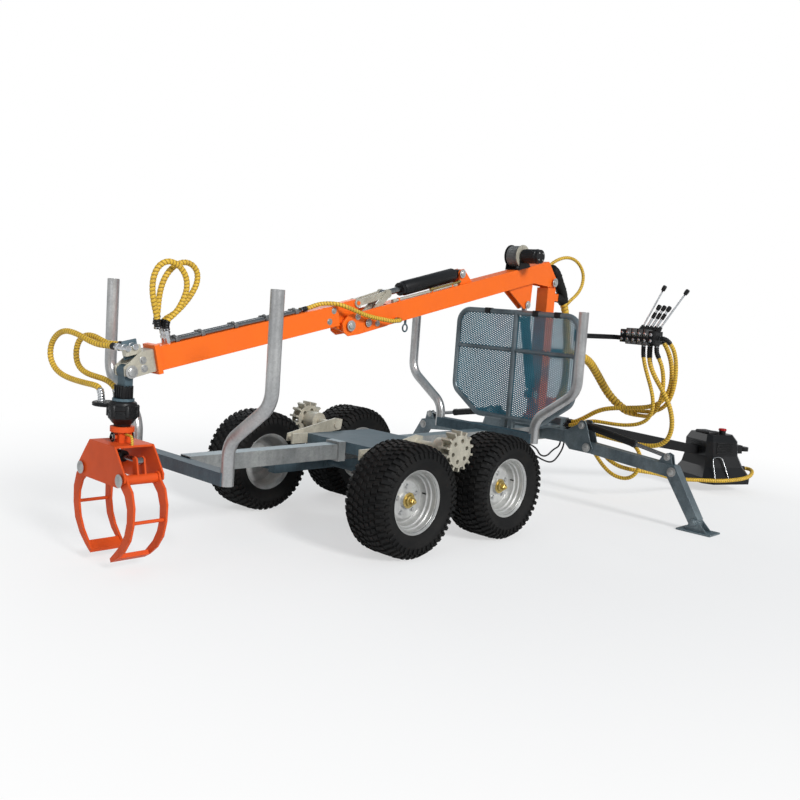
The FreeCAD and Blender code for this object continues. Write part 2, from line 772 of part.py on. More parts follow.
def make_crane_base():
    plate_low = "spine_top"
    ring_low = "spine_top + base_plate_thickness"
    solids = [
        block("base_plate_slab", ("base_plate", "base_plate", "base_plate_thickness"),
              ("column_station - base_plate / 2", "-base_plate / 2", plate_low)),
        rod("slew_housing", "z", "slew_ring_radius", "slew_ring_height", ("column_station", "0", ring_low)),
    ]
    for name, side in SIDES:
        near = "(%s)" % ARM_NEAR
        reach = "330 - %s" % near
        solids.append(middle_block("outrigger_arm_" + name, ("leg_section + 2 * side_play", reach, "80"),
                                   ("leg_station", "%d * (%s + (%s) / 2)" % (side, near, reach),
                                    "spine_top - 40")))
        profile = [(250, "spine_top"), (250, 410), (300, 362), ("leg_hinge_out + 20", "leg_hinge_height - 36"),
                   ("leg_hinge_out + 42", "leg_hinge_height"), ("leg_hinge_out + 20", "leg_hinge_height + 36"),
                   ("leg_barrel_out + 36", "leg_barrel_height"), ("leg_barrel_out + 18", "leg_barrel_height + 32"),
                   ("leg_barrel_out - 18", "leg_barrel_height + 32"), ("leg_barrel_out - 40", "leg_barrel_height")]
        corners = [("%d * (%s)" % (side, y), z) for y, z in profile]
        for end, start in (("front", "leg_station + %s" % EAR_NEAR),
                           ("back", "leg_station - (%s) - bracket_plate" % EAR_NEAR)):
            solids.append(plate("leg_bracket_%s_%s" % (end, name), "yz", corners, "bracket_plate", start))
        span = "leg_section + 2 * bracket_plate + 24"
        for pin, out, height in (("hinge", "leg_hinge_out", "leg_hinge_height"),
                                 ("barrel", "leg_barrel_out", "leg_barrel_height")):
            solids.append(middle_rod("leg_%s_pin_%s" % (pin, name), "x", "pin_radius", span,
                                     ("leg_station", "%d * %s" % (side, out), height)))
    solids.append(block("hose_manifold", ("hose_manifold_length", "80 - side_play", "140"),
                        ("column_station + base_plate / 2", "-spine_section / 2 - 80", "spine_top - 80")))
    return node("crane_base", fuse("crane_base_solid", solids))


make_crane_base()


# ---------------------------------------------------------------- cylinders

def aim(obj, start, end):
    """Lay an object that was built along +Z from start towards end."""
    obj.Placement = FreeCAD.Placement(start, FreeCAD.Rotation(Vec(0, 0, 1), end - start))
    return obj


def make_barrel(label, kind, eye_radius, eye_width, bore, cross, mouth_ring, neck, tube_low, bore_low):
    """Cylinder barrel along +Z with a cross eye at its foot and a bore for its piston rod."""
    radius = kind + "_barrel_radius"
    length = kind + "_barrel_length"
    solids = [
        middle_rod(label + "_eye", cross, eye_radius, eye_width, ("0", "0", "0")),
        rod(label + "_neck", "z", neck, tube_low - 8, ("0", "0", 12)),
        rod(label + "_tube", "z", radius, "%s - %d" % (length, tube_low), ("0", "0", tube_low)),
        rod(label + "_gland", "z", "%s + %s" % (radius, mouth_ring), "22", ("0", "0", "%s - 22" % length)),
    ]
    tools = [
        middle_rod(label + "_eye_bore", cross, bore, "4 * (%s)" % eye_width, ("0", "0", "0")),
        rod(label + "_rod_bore", "z", "%s_piston_radius + running_fit" % kind, length, ("0", "0", bore_low)),
    ]
    return node(label, cut(label + "_body", fuse(label + "_solid", solids), fuse(label + "_tools", tools)))


def make_piston(label, kind, eye_radius, eye_width, length, cross):
    """Piston rod along -Z from the eye at its outer end."""
    solids = [
        middle_rod(label + "_eye", cross, eye_radius, eye_width, ("0", "0", "0")),
        rod(label + "_shaft", "z", "%s_piston_radius" % kind, length, ("0", "0", "-(%s)" % length)),
    ]
    return node(label, fuse(label + "_solid", solids))


def yz(side, out, height):
    return Vec(size("leg_station"), side * size(out), size(height))


for name, side in SIDES:
    foot = yz(side, "leg_barrel_out", "leg_barrel_height")
    head = yz(side, "leg_rod_out", "leg_rod_height")
    barrel = make_barrel("leg_barrel_" + name, "leg", "24", "leg_section", "pin_radius + running_fit", "x", "1.5",
                         20, 30, 54)
    aim(barrel, foot, head)
    piston = make_piston("leg_rod_" + name, "leg", "18", "28", "392", "x")
    aim(piston, head, head * 2 - foot)


# ---------------------------------------------------------------- stabiliser legs

def make_leg(name, side):
    """Arm, bent down at the knee, with a flat foot; ears on top take the piston rod."""
    sign = "%d * " % side
    half = "leg_section / 2"
    profile = [("leg_hinge_out - 26", "leg_hinge_height - 30"), ("leg_hinge_out - 36", "leg_hinge_height"),
               ("leg_hinge_out - 26", "leg_hinge_height + 30"), ("leg_hinge_out", "leg_hinge_height + %s" % half),
               ("leg_knee_out + 18", "leg_knee_height + 40"), ("leg_ankle_out + 28", "leg_ankle_height + 18"),
               ("leg_ankle_out - 28", "leg_ankle_height - 18"), ("leg_knee_out - 26", "leg_knee_height - 34"),
               ("leg_hinge_out", "leg_hinge_height - %s" % half)]
    corners = [(sign + "(%s)" % y, z) for y, z in profile]
    solids = [plate("leg_arm_" + name, "yz", corners, "leg_section", "leg_station - leg_section / 2")]
    ears = [("leg_rod_out - 60", "leg_rod_height - 45"), ("leg_rod_out - 26", "leg_rod_height + 14"),
            ("leg_rod_out", "leg_rod_height + 26"), ("leg_rod_out + 26", "leg_rod_height + 14"),
            ("leg_rod_out + 40", "leg_rod_height - 50")]
    ear_corners = [(sign + "(%s)" % y, z) for y, z in ears]
    for end, start in (("front", "leg_station + 14 + side_play"),
                       ("back", "leg_station - 14 - side_play - bracket_plate")):
        solids.append(plate("leg_ear_%s_%s" % (end, name), "yz", ear_corners, "bracket_plate", start))
    solids.append(middle_block("foot_plate_" + name, ("foot_width", "foot_length", "foot_thickness"),
                               ("leg_station", sign + "(leg_ankle_out + 18)", "foot_thickness / 2")))
    rib = [("leg_ankle_out - 60", "foot_thickness - 1"), ("leg_ankle_out - 30", "leg_ankle_height - 16"),
           ("leg_ankle_out + 28", "leg_ankle_height + 10"), ("leg_ankle_out + 90", "foot_thickness - 1")]
    rib_corners = [(sign + "(%s)" % y, z) for y, z in rib]
    for end, start in (("front", "leg_station + %s - bracket_plate" % half), ("back", "leg_station - %s" % half)):
        solids.append(plate("foot_rib_%s_%s" % (end, name), "yz", rib_corners, "bracket_plate", start))
    bore = middle_rod("leg_bore_" + name, "x", "pin_radius + running_fit", "2 * leg_section",
                      ("leg_station", sign + "leg_hinge_out", "leg_hinge_height"))
    return node("leg_" + name, cut("leg_body_" + name, fuse("leg_solid_" + name, solids), bore))


for name, side in SIDES:
    make_leg(name, side)


# ---------------------------------------------------------------- column

def make_column():
    low = "spine_top + base_plate_thickness + slew_ring_height + side_play"
    width = "boom_width - 2 * side_play"
    crown_width = "boom_width - 2 * cheek_plate - 2 * side_play"
    crown = [("column_station - column_length / 2", "column_top - 40"),
             ("boom_pivot_station - 34", "boom_pivot_height"), ("boom_pivot_station - 24", "boom_pivot_height + 24"),
             ("boom_pivot_station", "boom_pivot_height + 34"), ("boom_pivot_station + 24", "boom_pivot_height + 24"),
             ("boom_pivot_station + 34", "boom_pivot_height"), ("column_station + column_length / 2",
                                                                "column_top - 40")]
    foot = [("column_station - column_length / 2 + 2", "lift_foot_height - 70"),
            ("column_station - column_length / 2 + 2", "lift_foot_height + 24"),
            ("lift_foot_station - 8", "lift_foot_height + 22"), ("lift_foot_station - 24", "lift_foot_height"),
            ("lift_foot_station - 14", "lift_foot_height - 24")]
    solids = [
        rod("column_flange", "z", "slew_ring_radius - 10", "20", ("column_station", "0", low)),
        block("column_post", ("column_length", width, "column_top - (%s)" % low),
              ("column_station - column_length / 2", "-(%s) / 2" % width, low)),
        plate("column_crown", "xz", crown, crown_width, "-(%s) / 2" % crown_width),
        middle_rod("boom_pin", "y", "boom_pin_radius", "boom_width + 24",
                   ("boom_pivot_station", "0", "boom_pivot_height")),
        middle_rod("lift_foot_pin", "y", "pin_radius", "80", ("lift_foot_station", "0", "lift_foot_height")),
    ]
    for end, start in (("left", "19 + side_play"), ("right", "-19 - side_play - bracket_plate")):
        solids.append(plate("lift_foot_ear_" + end, "xz", foot, "bracket_plate", start))
    solids.append(block("bundle_gland", (60, 70, 80), ("column_station + column_length / 2 - 2", -95, 600)))
    solids.append(block("bundle_clamp", (70, 50, 50), ("column_station + column_length / 2 - 2", -25, 1345)))
    return node("column", fuse("column_solid", solids))


make_column()

# ---------------------------------------------------------------- boom

BOOM_FRAME = FreeCAD.Placement(Vec(size("boom_pivot_station"), 0, size("boom_pivot_height")),
                               FreeCAD.Rotation(Vec(0, -1, 0), size("boom_droop")))


def in_boom(reach, rise, across=0.0):
    """A point given along and above the boom, in the trailer's frame."""
    return BOOM_FRAME.multVec(Vec(-reach, across, rise))


KNUCKLE = in_boom(size("knuckle_reach"), size("boom_rise"))
STICK_FRAME = FreeCAD.Placement(KNUCKLE, FreeCAD.Rotation(Vec(0, -1, 0), size("stick_droop")))


def in_stick(reach, rise, across=0.0):
    """A point given along and above the stick, in the trailer's frame."""
    return STICK_FRAME.multVec(Vec(-reach, across, rise))


BOOM_LOW = "boom_rise - boom_depth / 2"
BOOM_TOP = "boom_rise + boom_depth / 2"


def both_sides(name, corners, near, thickness, holes=()):
    """The same plate on the left and on the right of the middle plane."""
    return [plate(name + "_left", "xz", corners, thickness, near, holes),
            plate(name + "_right", "xz", corners, thickness, "-(%s) - (%s)" % (near, thickness), holes)]


KNUCKLE_PORT = (1560, 55)      # along and above the boom: where a hose from the stick comes in


def make_boom():
    width = "boom_width"
    box = [("-boom_start", BOOM_LOW), ("-boom_end", BOOM_LOW), ("-boom_end", BOOM_TOP), ("-42", BOOM_TOP)]
    shell = plate("boom_box", "xz", box, width, "-boom_width / 2")
    hollow = block("boom_hollow", ("boom_end - 100", "boom_width - 2 * sheet_wall", "boom_depth - 2 * sheet_wall"),
                   ("-boom_end - 1", "-boom_width / 2 + sheet_wall", "%s + sheet_wall" % BOOM_LOW))
    rear = [("34", "-8"), ("22", "-28"), ("0", "-36"), ("-26", "-30"), ("-230", BOOM_LOW), ("-230", BOOM_TOP),
            ("-42", BOOM_TOP), ("26", "26")]
    knuckle = [("-boom_end + 100", BOOM_LOW), ("-boom_end + 100", BOOM_TOP), ("-knuckle_reach", BOOM_TOP),
               ("-knuckle_reach - 50", "boom_rise + 24"), ("-knuckle_reach - 50", "boom_rise - 26"),
               ("-knuckle_reach - 20", "boom_rise - 54"), ("-knuckle_reach + 60", "boom_rise - 60")]
    lift = [("-215", "%s + 1" % BOOM_LOW), ("-480", "%s + 1" % BOOM_LOW), ("-lift_eye_reach - 36", "lift_eye_rise - 22"),
            ("-lift_eye_reach + 30", "lift_eye_rise - 22")]
    fold = [("-fold_foot_reach + 90", "%s - 1" % BOOM_TOP), ("-fold_foot_reach - 22", "%s - 1" % BOOM_TOP),
            ("-fold_foot_reach - 24", "fold_foot_rise + 8"), ("-fold_foot_reach - 10", "fold_foot_rise + 25"),
            ("-fold_foot_reach + 26", "fold_foot_rise + 25")]
    slot = block("rocker_slot", ("140", "boom_width - 2 * sheet_wall - 3", "20"),
                 ("-boom_end - 5", "-boom_width / 2 + sheet_wall + 1.5", "%s - 10" % BOOM_TOP))
    solids = [cut("boom_tube", shell, fuse("boom_tools", [hollow, slot]))]
    solids += both_sides("boom_rear_cheek", rear, "boom_width / 2 - cheek_plate", "cheek_plate",
                         [("0", "0", "boom_pin_radius + running_fit")])
    solids += both_sides("boom_knuckle_cheek", knuckle, "boom_width / 2", "cheek_plate")
    solids += both_sides("boom_lift_cheek", lift, "19 + side_play", "cheek_plate")
    solids += both_sides("boom_fold_cheek", fold, "20 + side_play", "cheek_plate")
    pins = (("knuckle", "knuckle_reach", "boom_rise", "boom_pin_radius", "boom_width + 2 * cheek_plate + 24"),
            ("rocker", "rocker_reach", "rocker_rise", "pin_radius", "boom_width + 2 * cheek_plate + 16"),
            ("fold_foot", "fold_foot_reach", "fold_foot_rise", "pin_radius", "76"))
    for name, reach, rise, radius, length in pins:
        solids.append(middle_rod("boom_%s_pin" % name, "y", radius, length, ("-" + reach, "0", rise)))
    solids.append(middle_rod("knuckle_port", "y", 13, 20, (-KNUCKLE_PORT[0], "-boom_width / 2 - 5", KNUCKLE_PORT[1])))
    for name, side in SIDES:
        solids.append(middle_rod("lift_eye_boss_" + name, "y", "pin_radius + 6", "10",
                                 ("-lift_eye_reach", "%d * 30" % side, "lift_eye_rise")))
    boom = fuse("boom_solid", solids)
    boom.Placement = BOOM_FRAME
    return node("boom", boom)


make_boom()


def make_winch():
    """Motor and brackets on the boom, and the drum that turns between them."""
    at = ("-winch_reach", "winch_rise")
    bracket = [("-winch_reach + 60", "%s + side_play" % BOOM_TOP), ("-winch_reach - 60", "%s + side_play" % BOOM_TOP),
               ("-winch_reach - 24", "winch_rise + 24"), ("-winch_reach + 24", "winch_rise + 24")]
    near = "winch_drum_width / 2 + side_play"
    solids = both_sides("winch_bracket", bracket, near, "bracket_plate")
    solids.append(block("winch_floor", ("120", "winch_drum_width + 2 * bracket_plate", "6"),
                        ("-winch_reach - 60", "-winch_drum_width / 2 - bracket_plate",
                         "%s + side_play" % BOOM_TOP)))
    solids.append(rod("winch_motor", "y", "winch_motor_radius", "winch_motor_length",
                      (at[0], "-(%s) - bracket_plate - winch_motor_length" % near, at[1])))
    solids.append(middle_rod("winch_shaft", "y", "10", "winch_drum_width + 2 * bracket_plate + 20",
                             (at[0], "0", at[1])))
    frame = fuse("winch_solid", solids)
    frame.Placement = BOOM_FRAME
    node("winch_frame", frame)
    drum = [middle_rod("winch_barrel", "y", "winch_drum_radius - 14", "winch_drum_width", ("0", "0", "0"))]
    for name, side in SIDES:
        drum.append(middle_rod("winch_flange_" + name, "y", "winch_drum_radius", "6",
                               ("0", "%d * (winch_drum_width / 2 - 3)" % side, "0")))
    bore = middle_rod("winch_bore", "y", "10 + running_fit", "2 * winch_drum_width", ("0", "0", "0"))
    spool = cut("winch_spool", fuse("winch_spool_solid", drum), bore)
    spool.Placement = FreeCAD.Placement(in_boom(size("winch_reach"), size("winch_rise")), BOOM_FRAME.Rotation)
    return node("winch_drum", spool)


make_winch()

LIFT_FOOT = Vec(size("lift_foot_station"), 0, size("lift_foot_height"))
LIFT_HEAD = in_boom(size("lift_eye_reach"), size("lift_eye_rise"))
aim(make_barrel("lift_barrel", "lift", "24", "38", "pin_radius + running_fit", "y", "4", 17, 48, 56),
    LIFT_FOOT, LIFT_HEAD)
aim(make_piston("lift_rod", "lift", "24", "38", "555", "y"), LIFT_HEAD, LIFT_HEAD * 2 - LIFT_FOOT)

LINK_PIN = in_boom(size("rocker_reach") - size("rocker_length") * math.cos(math.radians(size("rocker_lean"))),
                   size("rocker_rise") + size("rocker_length") * math.sin(math.radians(size("rocker_lean"))))
FOLD_FOOT = in_boom(size("fold_foot_reach"), size("fold_foot_rise"))
aim(make_barrel("stick_barrel", "fold", "26", "40", "pin_radius + running_fit", "y", "4", 18, 48, 56),
    FOLD_FOOT, LINK_PIN)
aim(make_piston("stick_rod", "fold", "22", "39.4", "570", "y"), LINK_PIN, LINK_PIN * 2 - FOLD_FOOT)

STICK_EAR = in_stick(size("stick_ear_reach"), size("stick_ear_rise"))
ROCKER_PIN = in_boom(size("rocker_reach"), size("rocker_rise"))


def bar_pair(label, start, end, near, radius, bore_start, joined):
    """Two flat bars with round ends on either side of the middle plane, from start to end."""
    thick = 8
    length = (end - start).Length
    shapes = []
    for side in (1, -1):
        low = side * near if side > 0 else -near - thick
        bar = Part.makeBox(length, thick, 1.5 * radius, Vec(0, low, -0.75 * radius))
        bar = bar.fuse([Part.makeCylinder(radius, thick, Vec(x, low, 0), Vec(0, 1, 0)) for x in (0, length)])
        bar = bar.cut(Part.makeCylinder(bore_start, 400, Vec(0, -200, 0), Vec(0, 1, 0)))
        shapes.append(bar)
    if joined:
        shapes.append(Part.makeBox(24, 2 * near + 1, 10, Vec(length * joined - 12, -near - 0.5, -5)))
    shape = shapes[0].fuse(shapes[1:]).removeSplitter()
    obj = shape_node(label, shape)
    obj.Placement = FreeCAD.Placement(start, FreeCAD.Rotation(Vec(1, 0, 0), end - start))
    return obj


pin_bore = size("pin_radius") + size("running_fit")
bar_pair("rocker", ROCKER_PIN, LINK_PIN, 28.9, 24, pin_bore, 0.4)
bar_pair("link", STICK_EAR, LINK_PIN, 20.3, 24, pin_bore, 0.42)


# ---------------------------------------------------------------- stick and its extension

STICK_LOW = "stick_rise - stick_depth / 2"
STICK_TOP = "stick_rise + stick_depth / 2"


STICK_PIPE = (300, 1082)       # along the stick: ends of the two oil pipes on its top


def make_stick():
    shell = block("stick_box", ("stick_end - stick_start", "stick_width", "stick_depth"),
                  ("-stick_end", "-stick_width / 2", STICK_LOW))
    hollow = block("stick_hollow", ("stick_end - stick_start - 40", "stick_width - 2 * sheet_wall",
                                    "stick_depth - 2 * sheet_wall"),
                   ("-stick_end - 1", "-stick_width / 2 + sheet_wall", "%s + sheet_wall" % STICK_LOW))
    collar = block("stick_collar_block", ("24", "stick_width + 2 * stick_collar", "stick_depth + 2 * stick_collar"),
                   ("-stick_end", "-stick_width / 2 - stick_collar", "%s - stick_collar" % STICK_LOW))
    root = [("-stick_start - 30", STICK_LOW), ("-stick_start - 30", "%s - 2" % STICK_TOP), ("-20", "%s + 4" % STICK_TOP),
            ("-stick_ear_reach - 20", "stick_ear_rise + 22"), ("-stick_ear_reach + 10", "stick_ear_rise + 20"),
            ("-stick_ear_reach + 24", "stick_ear_rise - 2"), ("-stick_ear_reach + 6", "stick_ear_rise - 26"),
            ("38", "0"), ("28", "-28"), ("0", "-38"), ("-30", "-26")]
    tube = cut("stick_tube", fuse("stick_shell", [shell, collar]), hollow)
    pipes = []
    for across in (-15, 15):
        pipes.append(rod("stick_pipe_%s" % ("left" if across > 0 else "right"), "x", 11,
                         "%s - %s" % (STICK_PIPE[1], STICK_PIPE[0]),
                         ("-%s" % STICK_PIPE[1], across, "%s + 9" % STICK_TOP)))
        pipes.append(rod("stick_elbow_%s" % ("left" if across > 0 else "right"), "z", 13, 62,
                         ("-%s" % STICK_PIPE[1], across, "%s - 2" % STICK_TOP)))
    solids = pipes + [
        tube,
        plate("stick_root", "xz", root, "40", "-20"),
        middle_rod("stick_boss", "y", "38", "boom_width - 2 * side_play", ("0", "0", "0")),
        middle_rod("stick_ear_pin", "y", "pin_radius", "60", ("-stick_ear_reach", "0", "stick_ear_rise")),
    ]
    bore = middle_rod("stick_bore", "y", "boom_pin_radius + running_fit", "200", ("0", "0", "0"))
    stick = cut("stick_body", fuse("stick_solid", solids), bore)
    stick.Placement = STICK_FRAME
    return node("stick", stick)


make_stick()


TIP_PORTS = (1255, 1292)       # along the stick: two hose ports across the tip
TIP_PORT_RISE = 142


def make_extension():
    wide = "stick_width - 2 * sheet_wall - 2 * side_play"
    deep = "stick_depth - 2 * sheet_wall - 2 * side_play"
    length = "extension_inside + extension_outside"
    outer = block("extension_box", (length, wide, deep),
                  ("-stick_end - extension_outside", "-(%s) / 2" % wide, "stick_rise - (%s) / 2" % deep))
    hollow = block("extension_hollow", (length, "%s - 2 * sheet_wall" % wide, "%s - 2 * sheet_wall" % deep),
                   ("-stick_end - extension_outside + 6", "-(%s) / 2 + sheet_wall" % wide,
                    "stick_rise - (%s) / 2 + sheet_wall" % deep))
    cheek = [("-stick_end - 10", "%s + 4" % STICK_LOW), ("-stick_end - 10", "%s - 4" % STICK_TOP),
             ("-stick_end - extension_outside - 4", "%s - 4" % STICK_TOP), ("-tip_pin_reach - 26", "tip_pin_rise + 26"),
             ("-tip_pin_reach - 30", "tip_pin_rise - 14"), ("-tip_pin_reach + 4", "tip_pin_rise - 30")]
    solids = [cut("extension_tube", outer, hollow)]
    solids += both_sides("tip_cheek", cheek, "(%s) / 2" % wide, "cheek_plate")
    solids.append(middle_rod("tip_pin", "y", "pin_radius", "%s + 2 * cheek_plate + 20" % wide,
                             ("-tip_pin_reach", "0", "tip_pin_rise")))
    for name, reach in (("front", TIP_PORTS[0]), ("rear", TIP_PORTS[1])):
        solids.append(middle_rod("tip_elbow_" + name, "y", 13, 60 + 34, ("-%d" % reach, "30 - 17", TIP_PORT_RISE)))
    solids.append(block("tip_bridge", (TIP_PORTS[1] - TIP_PORTS[0] + 40, 30, 40),
                        ("-%d" % (TIP_PORTS[1] + 12), -25, TIP_PORT_RISE - 35)))
    obj = fuse("extension_solid", solids)
    obj.Placement = STICK_FRAME
    return node("extension", obj)


make_extension()

TIP_PIN = in_stick(size("tip_pin_reach"), size("tip_pin_rise"))


# ---------------------------------------------------------------- hanger and rotator

def make_hanger():
    x = size("rotator_station")
    half = size("hanger_width") / 2
    foot = size("hanger_foot")
    eye = Part.makeCylinder(28, 2 * half, Vec(TIP_PIN.x, -half, TIP_PIN.z), Vec(0, 1, 0))
    shank = Part.makeBox(40, 2 * half, TIP_PIN.z - foot, Vec(TIP_PIN.x - 20, -half, foot))
    flange = Part.makeCylinder(48, 12, Vec(x, 0, foot))
    shape = eye.fuse([shank, flange]).cut(Part.makeCylinder(pin_bore, 200, Vec(TIP_PIN.x, -100, TIP_PIN.z),
                                                            Vec(0, 1, 0)))
    return shape_node("hanger", shape.removeSplitter())


make_hanger()


ROTATOR_PORT_TOP = 728


def make_rotator():
    x = size("rotator_station")
    foot = size("rotator_foot")
    top = size("hanger_foot") - size("side_play")
    body = Part.makeCylinder(size("rotator_radius"), top - foot, Vec(x, 0, foot))
    flange = Part.makeCylinder(size("rotator_radius") + 12, 14, Vec(x, 0, foot + 28))
    port = Part.makeBox(84, 120, 16, Vec(x - 62, 20, ROTATOR_PORT_TOP - 16))
    shape = body.fuse([flange, port])
    return shape_node("rotator", shape.removeSplitter())


make_rotator()


# ---------------------------------------------------------------- grapple

ROTOR = "rotator_station"


def make_grapple_frame():
    """Two side plates joined at the top, and the neck that turns with them."""
    profile = [(150, 388), (205, 420), (205, 445), (150, 515), (110, "grapple_top")]
    corners = profile + [("-(%s)" % y, z) for y, z in reversed(profile)]
    solids = []
    for name, low in (("rear", "%s - grapple_half_length" % ROTOR),
                      ("front", "%s + grapple_half_length - grapple_plate" % ROTOR)):
        solids.append(plate("grapple_side_" + name, "yz", corners, "grapple_plate", low))
    solids.append(middle_block("grapple_roof", ("2 * grapple_half_length", 220, 10),
                               (ROTOR, "0", "grapple_top - 5")))
    solids.append(middle_block("grapple_neck", (60, 64, "rotator_foot - grapple_top - 24"),
                               (ROTOR, "0", "(rotator_foot - 24 + grapple_top) / 2")))
    solids.append(rod("grapple_rotor", "z", "rotator_radius - 10", "24 - side_play",
                      (ROTOR, "0", "rotator_foot - 24")))
    solids.append(middle_rod("grapple_neck_pin", "x", "pin_radius", 90, (ROTOR, "0", "grapple_pin_height + 8")))
    for name, side in SIDES:
        solids.append(middle_rod("jaw_pin_" + name, "x", "pin_radius", "2 * grapple_half_length + 16",
                                 (ROTOR, "%d * jaw_pivot_out" % side, "jaw_pivot_height")))
    return node("grapple_frame", fuse("grapple_frame_solid", solids))


make_grapple_frame()

JAW_OUTER = [(200, 428), (246, 386), (268, 320), (266, 245), (246, 175), (200, 115), (140, 70), (92, 44)]
JAW_INNER = [(84, 60), (120, 92), (168, 138), (200, 190), (216, 250), (214, 305), (190, 360), (146, 398)]
JAW_EAR = [(186, 432), (168, 512), (152, 521), (136, 512), (146, 430), (166, 420)]


def make_jaw(name, side):
    """Two curved arm plates, the tube round the pivot, the cylinder ears, a cross rod and the lip."""
    x = size("rotator_station")
    pivot = Vec(x, side * size("jaw_pivot_out"), size("jaw_pivot_height"))
    along = Vec(1, 0, 0)
    inner = size("grapple_half_length") - size("grapple_plate") - size("jaw_arm_gap")
    thick = size("jaw_arm_thickness")
    ring = [Vec(0, side * y, z) for y, z in JAW_OUTER + JAW_INNER]
    face = Part.Face(Part.makePolygon(ring + [ring[0]]))
    pieces = []
    for low in (x + inner - thick, x - inner):
        arm = face.extrude(Vec(thick, 0, 0))
        arm.translate(Vec(low, 0, 0))
        pieces.append(arm)
        pieces.append(Part.makeCylinder(30, thick, Vec(low, pivot.y, pivot.z), along))
    pieces.append(Part.makeCylinder(22, 2 * inner, Vec(x - inner, pivot.y, pivot.z), along))
    ear_ring = [Vec(0, side * y, z) for y, z in JAW_EAR]
    ear_face = Part.Face(Part.makePolygon(ear_ring + [ear_ring[0]]))
    eye_half = 14 + size("side_play")
    for low in (x + eye_half, x - eye_half - 8):
        ear = ear_face.extrude(Vec(8, 0, 0))
        ear.translate(Vec(low, 0, 0))
        pieces.append(ear)
    pieces.append(Part.makeCylinder(8, 2 * inner, Vec(x - inner, side * 246, 250), along))
    lip = [Vec(x - inner, side * y, z) for y, z in ((84, 60), (92, 44), (142, 71), (134, 90))]
    pieces.append(Part.Face(Part.makePolygon(lip + [lip[0]])).extrude(Vec(2 * inner, 0, 0)))
    shape = pieces[0].fuse(pieces[1:])
    tools = [Part.makeCylinder(pin_bore, 400, Vec(x - 200, pivot.y, pivot.z), along)]
    if name == "left":
        eye = Vec(x - 60, side * size("jaw_eye_out"), size("jaw_cylinder_height"))
        shape = shape.fuse(Part.makeCylinder(9, 64, Vec(x - 32, eye.y, eye.z), along))
    return shape_node("jaw_" + name, shape.cut(tools).removeSplitter())


for name, side in SIDES:
    make_jaw(name, side)

JAW_FOOT = Vec(size("rotator_station"), size("jaw_eye_out"), size("jaw_cylinder_height"))
JAW_HEAD = Vec(size("rotator_station"), -size("jaw_eye_out"), size("jaw_cylinder_height"))
aim(make_barrel("grapple_barrel", "jaw", "18", "28", "9 + running_fit", "x", "2", 13.5, 26, 22),
    JAW_FOOT, JAW_HEAD)
aim(make_piston("grapple_rod", "jaw", "16", "28", "179", "x"), JAW_HEAD, JAW_HEAD * 2 - JAW_FOOT)


# ---------------------------------------------------------------- drawbar and power unit

DRAWBAR_FRAME = FreeCAD.Placement(Vec(size("drawbar_hinge_station"), 0, 0),
                                  FreeCAD.Rotation(Vec(0, 0, -1), size("drawbar_swing")))


def make_drawbar_clevis():
    """Two flat plates at the front of the spine that hold the steering pin."""
    solids = []
    for name, low in (("upper", "spine_top"), ("lower", "spine_top - spine_section - 12")):
        solids.append(block("clevis_" + name, ("200", "spine_section", "12"),
                            ("drawbar_hinge_station - 150", "-spine_section / 2", low)))
    solids.append(rod("steering_pin", "z", "boom_pin_radius", "spine_section + 60",
                      ("drawbar_hinge_station", "0", "spine_top - spine_section - 30")))
    return node("drawbar_clevis", fuse("clevis_solid", solids))


def make_drawbar():
    mid = "spine_top - spine_section / 2"
    half = "spine_section / 2 - side_play"
    side_view = [("-42", "%s - (%s)" % (mid, half)), ("280", "%s - (%s)" % (mid, half)),
                 ("power_unit_reach - 200", "drawbar_nose_height - 32"), ("drawbar_length", "drawbar_nose_height - 32"),
                 ("drawbar_length", "drawbar_nose_height + 32"), ("power_unit_reach - 190", "drawbar_nose_height + 32"),
                 ("280", "%s + %s" % (mid, half)), ("-42", "%s + %s" % (mid, half))]
    bar = plate("drawbar_bar", "xz", side_view, "drawbar_section", "-drawbar_section / 2")
    eye = middle_rod("towing_eye_ring", "z", "towing_eye_radius", "towing_eye_thickness",
                     ("drawbar_length + towing_eye_radius - 8", "0", "drawbar_nose_height"))
    hollow = middle_rod("towing_eye_hole", "z", "towing_eye_bore", "100",
                        ("drawbar_length + towing_eye_radius - 8", "0", "drawbar_nose_height"))
    bore = middle_rod("steering_bore", "z", "boom_pin_radius + running_fit", "300", ("0", "0", mid))
    body = cut("drawbar_body", fuse("drawbar_solid", [bar, eye]), fuse("drawbar_tools", [hollow, bore]))
    body.Placement = DRAWBAR_FRAME
    return node("drawbar", body)


make_drawbar_clevis()
make_drawbar()


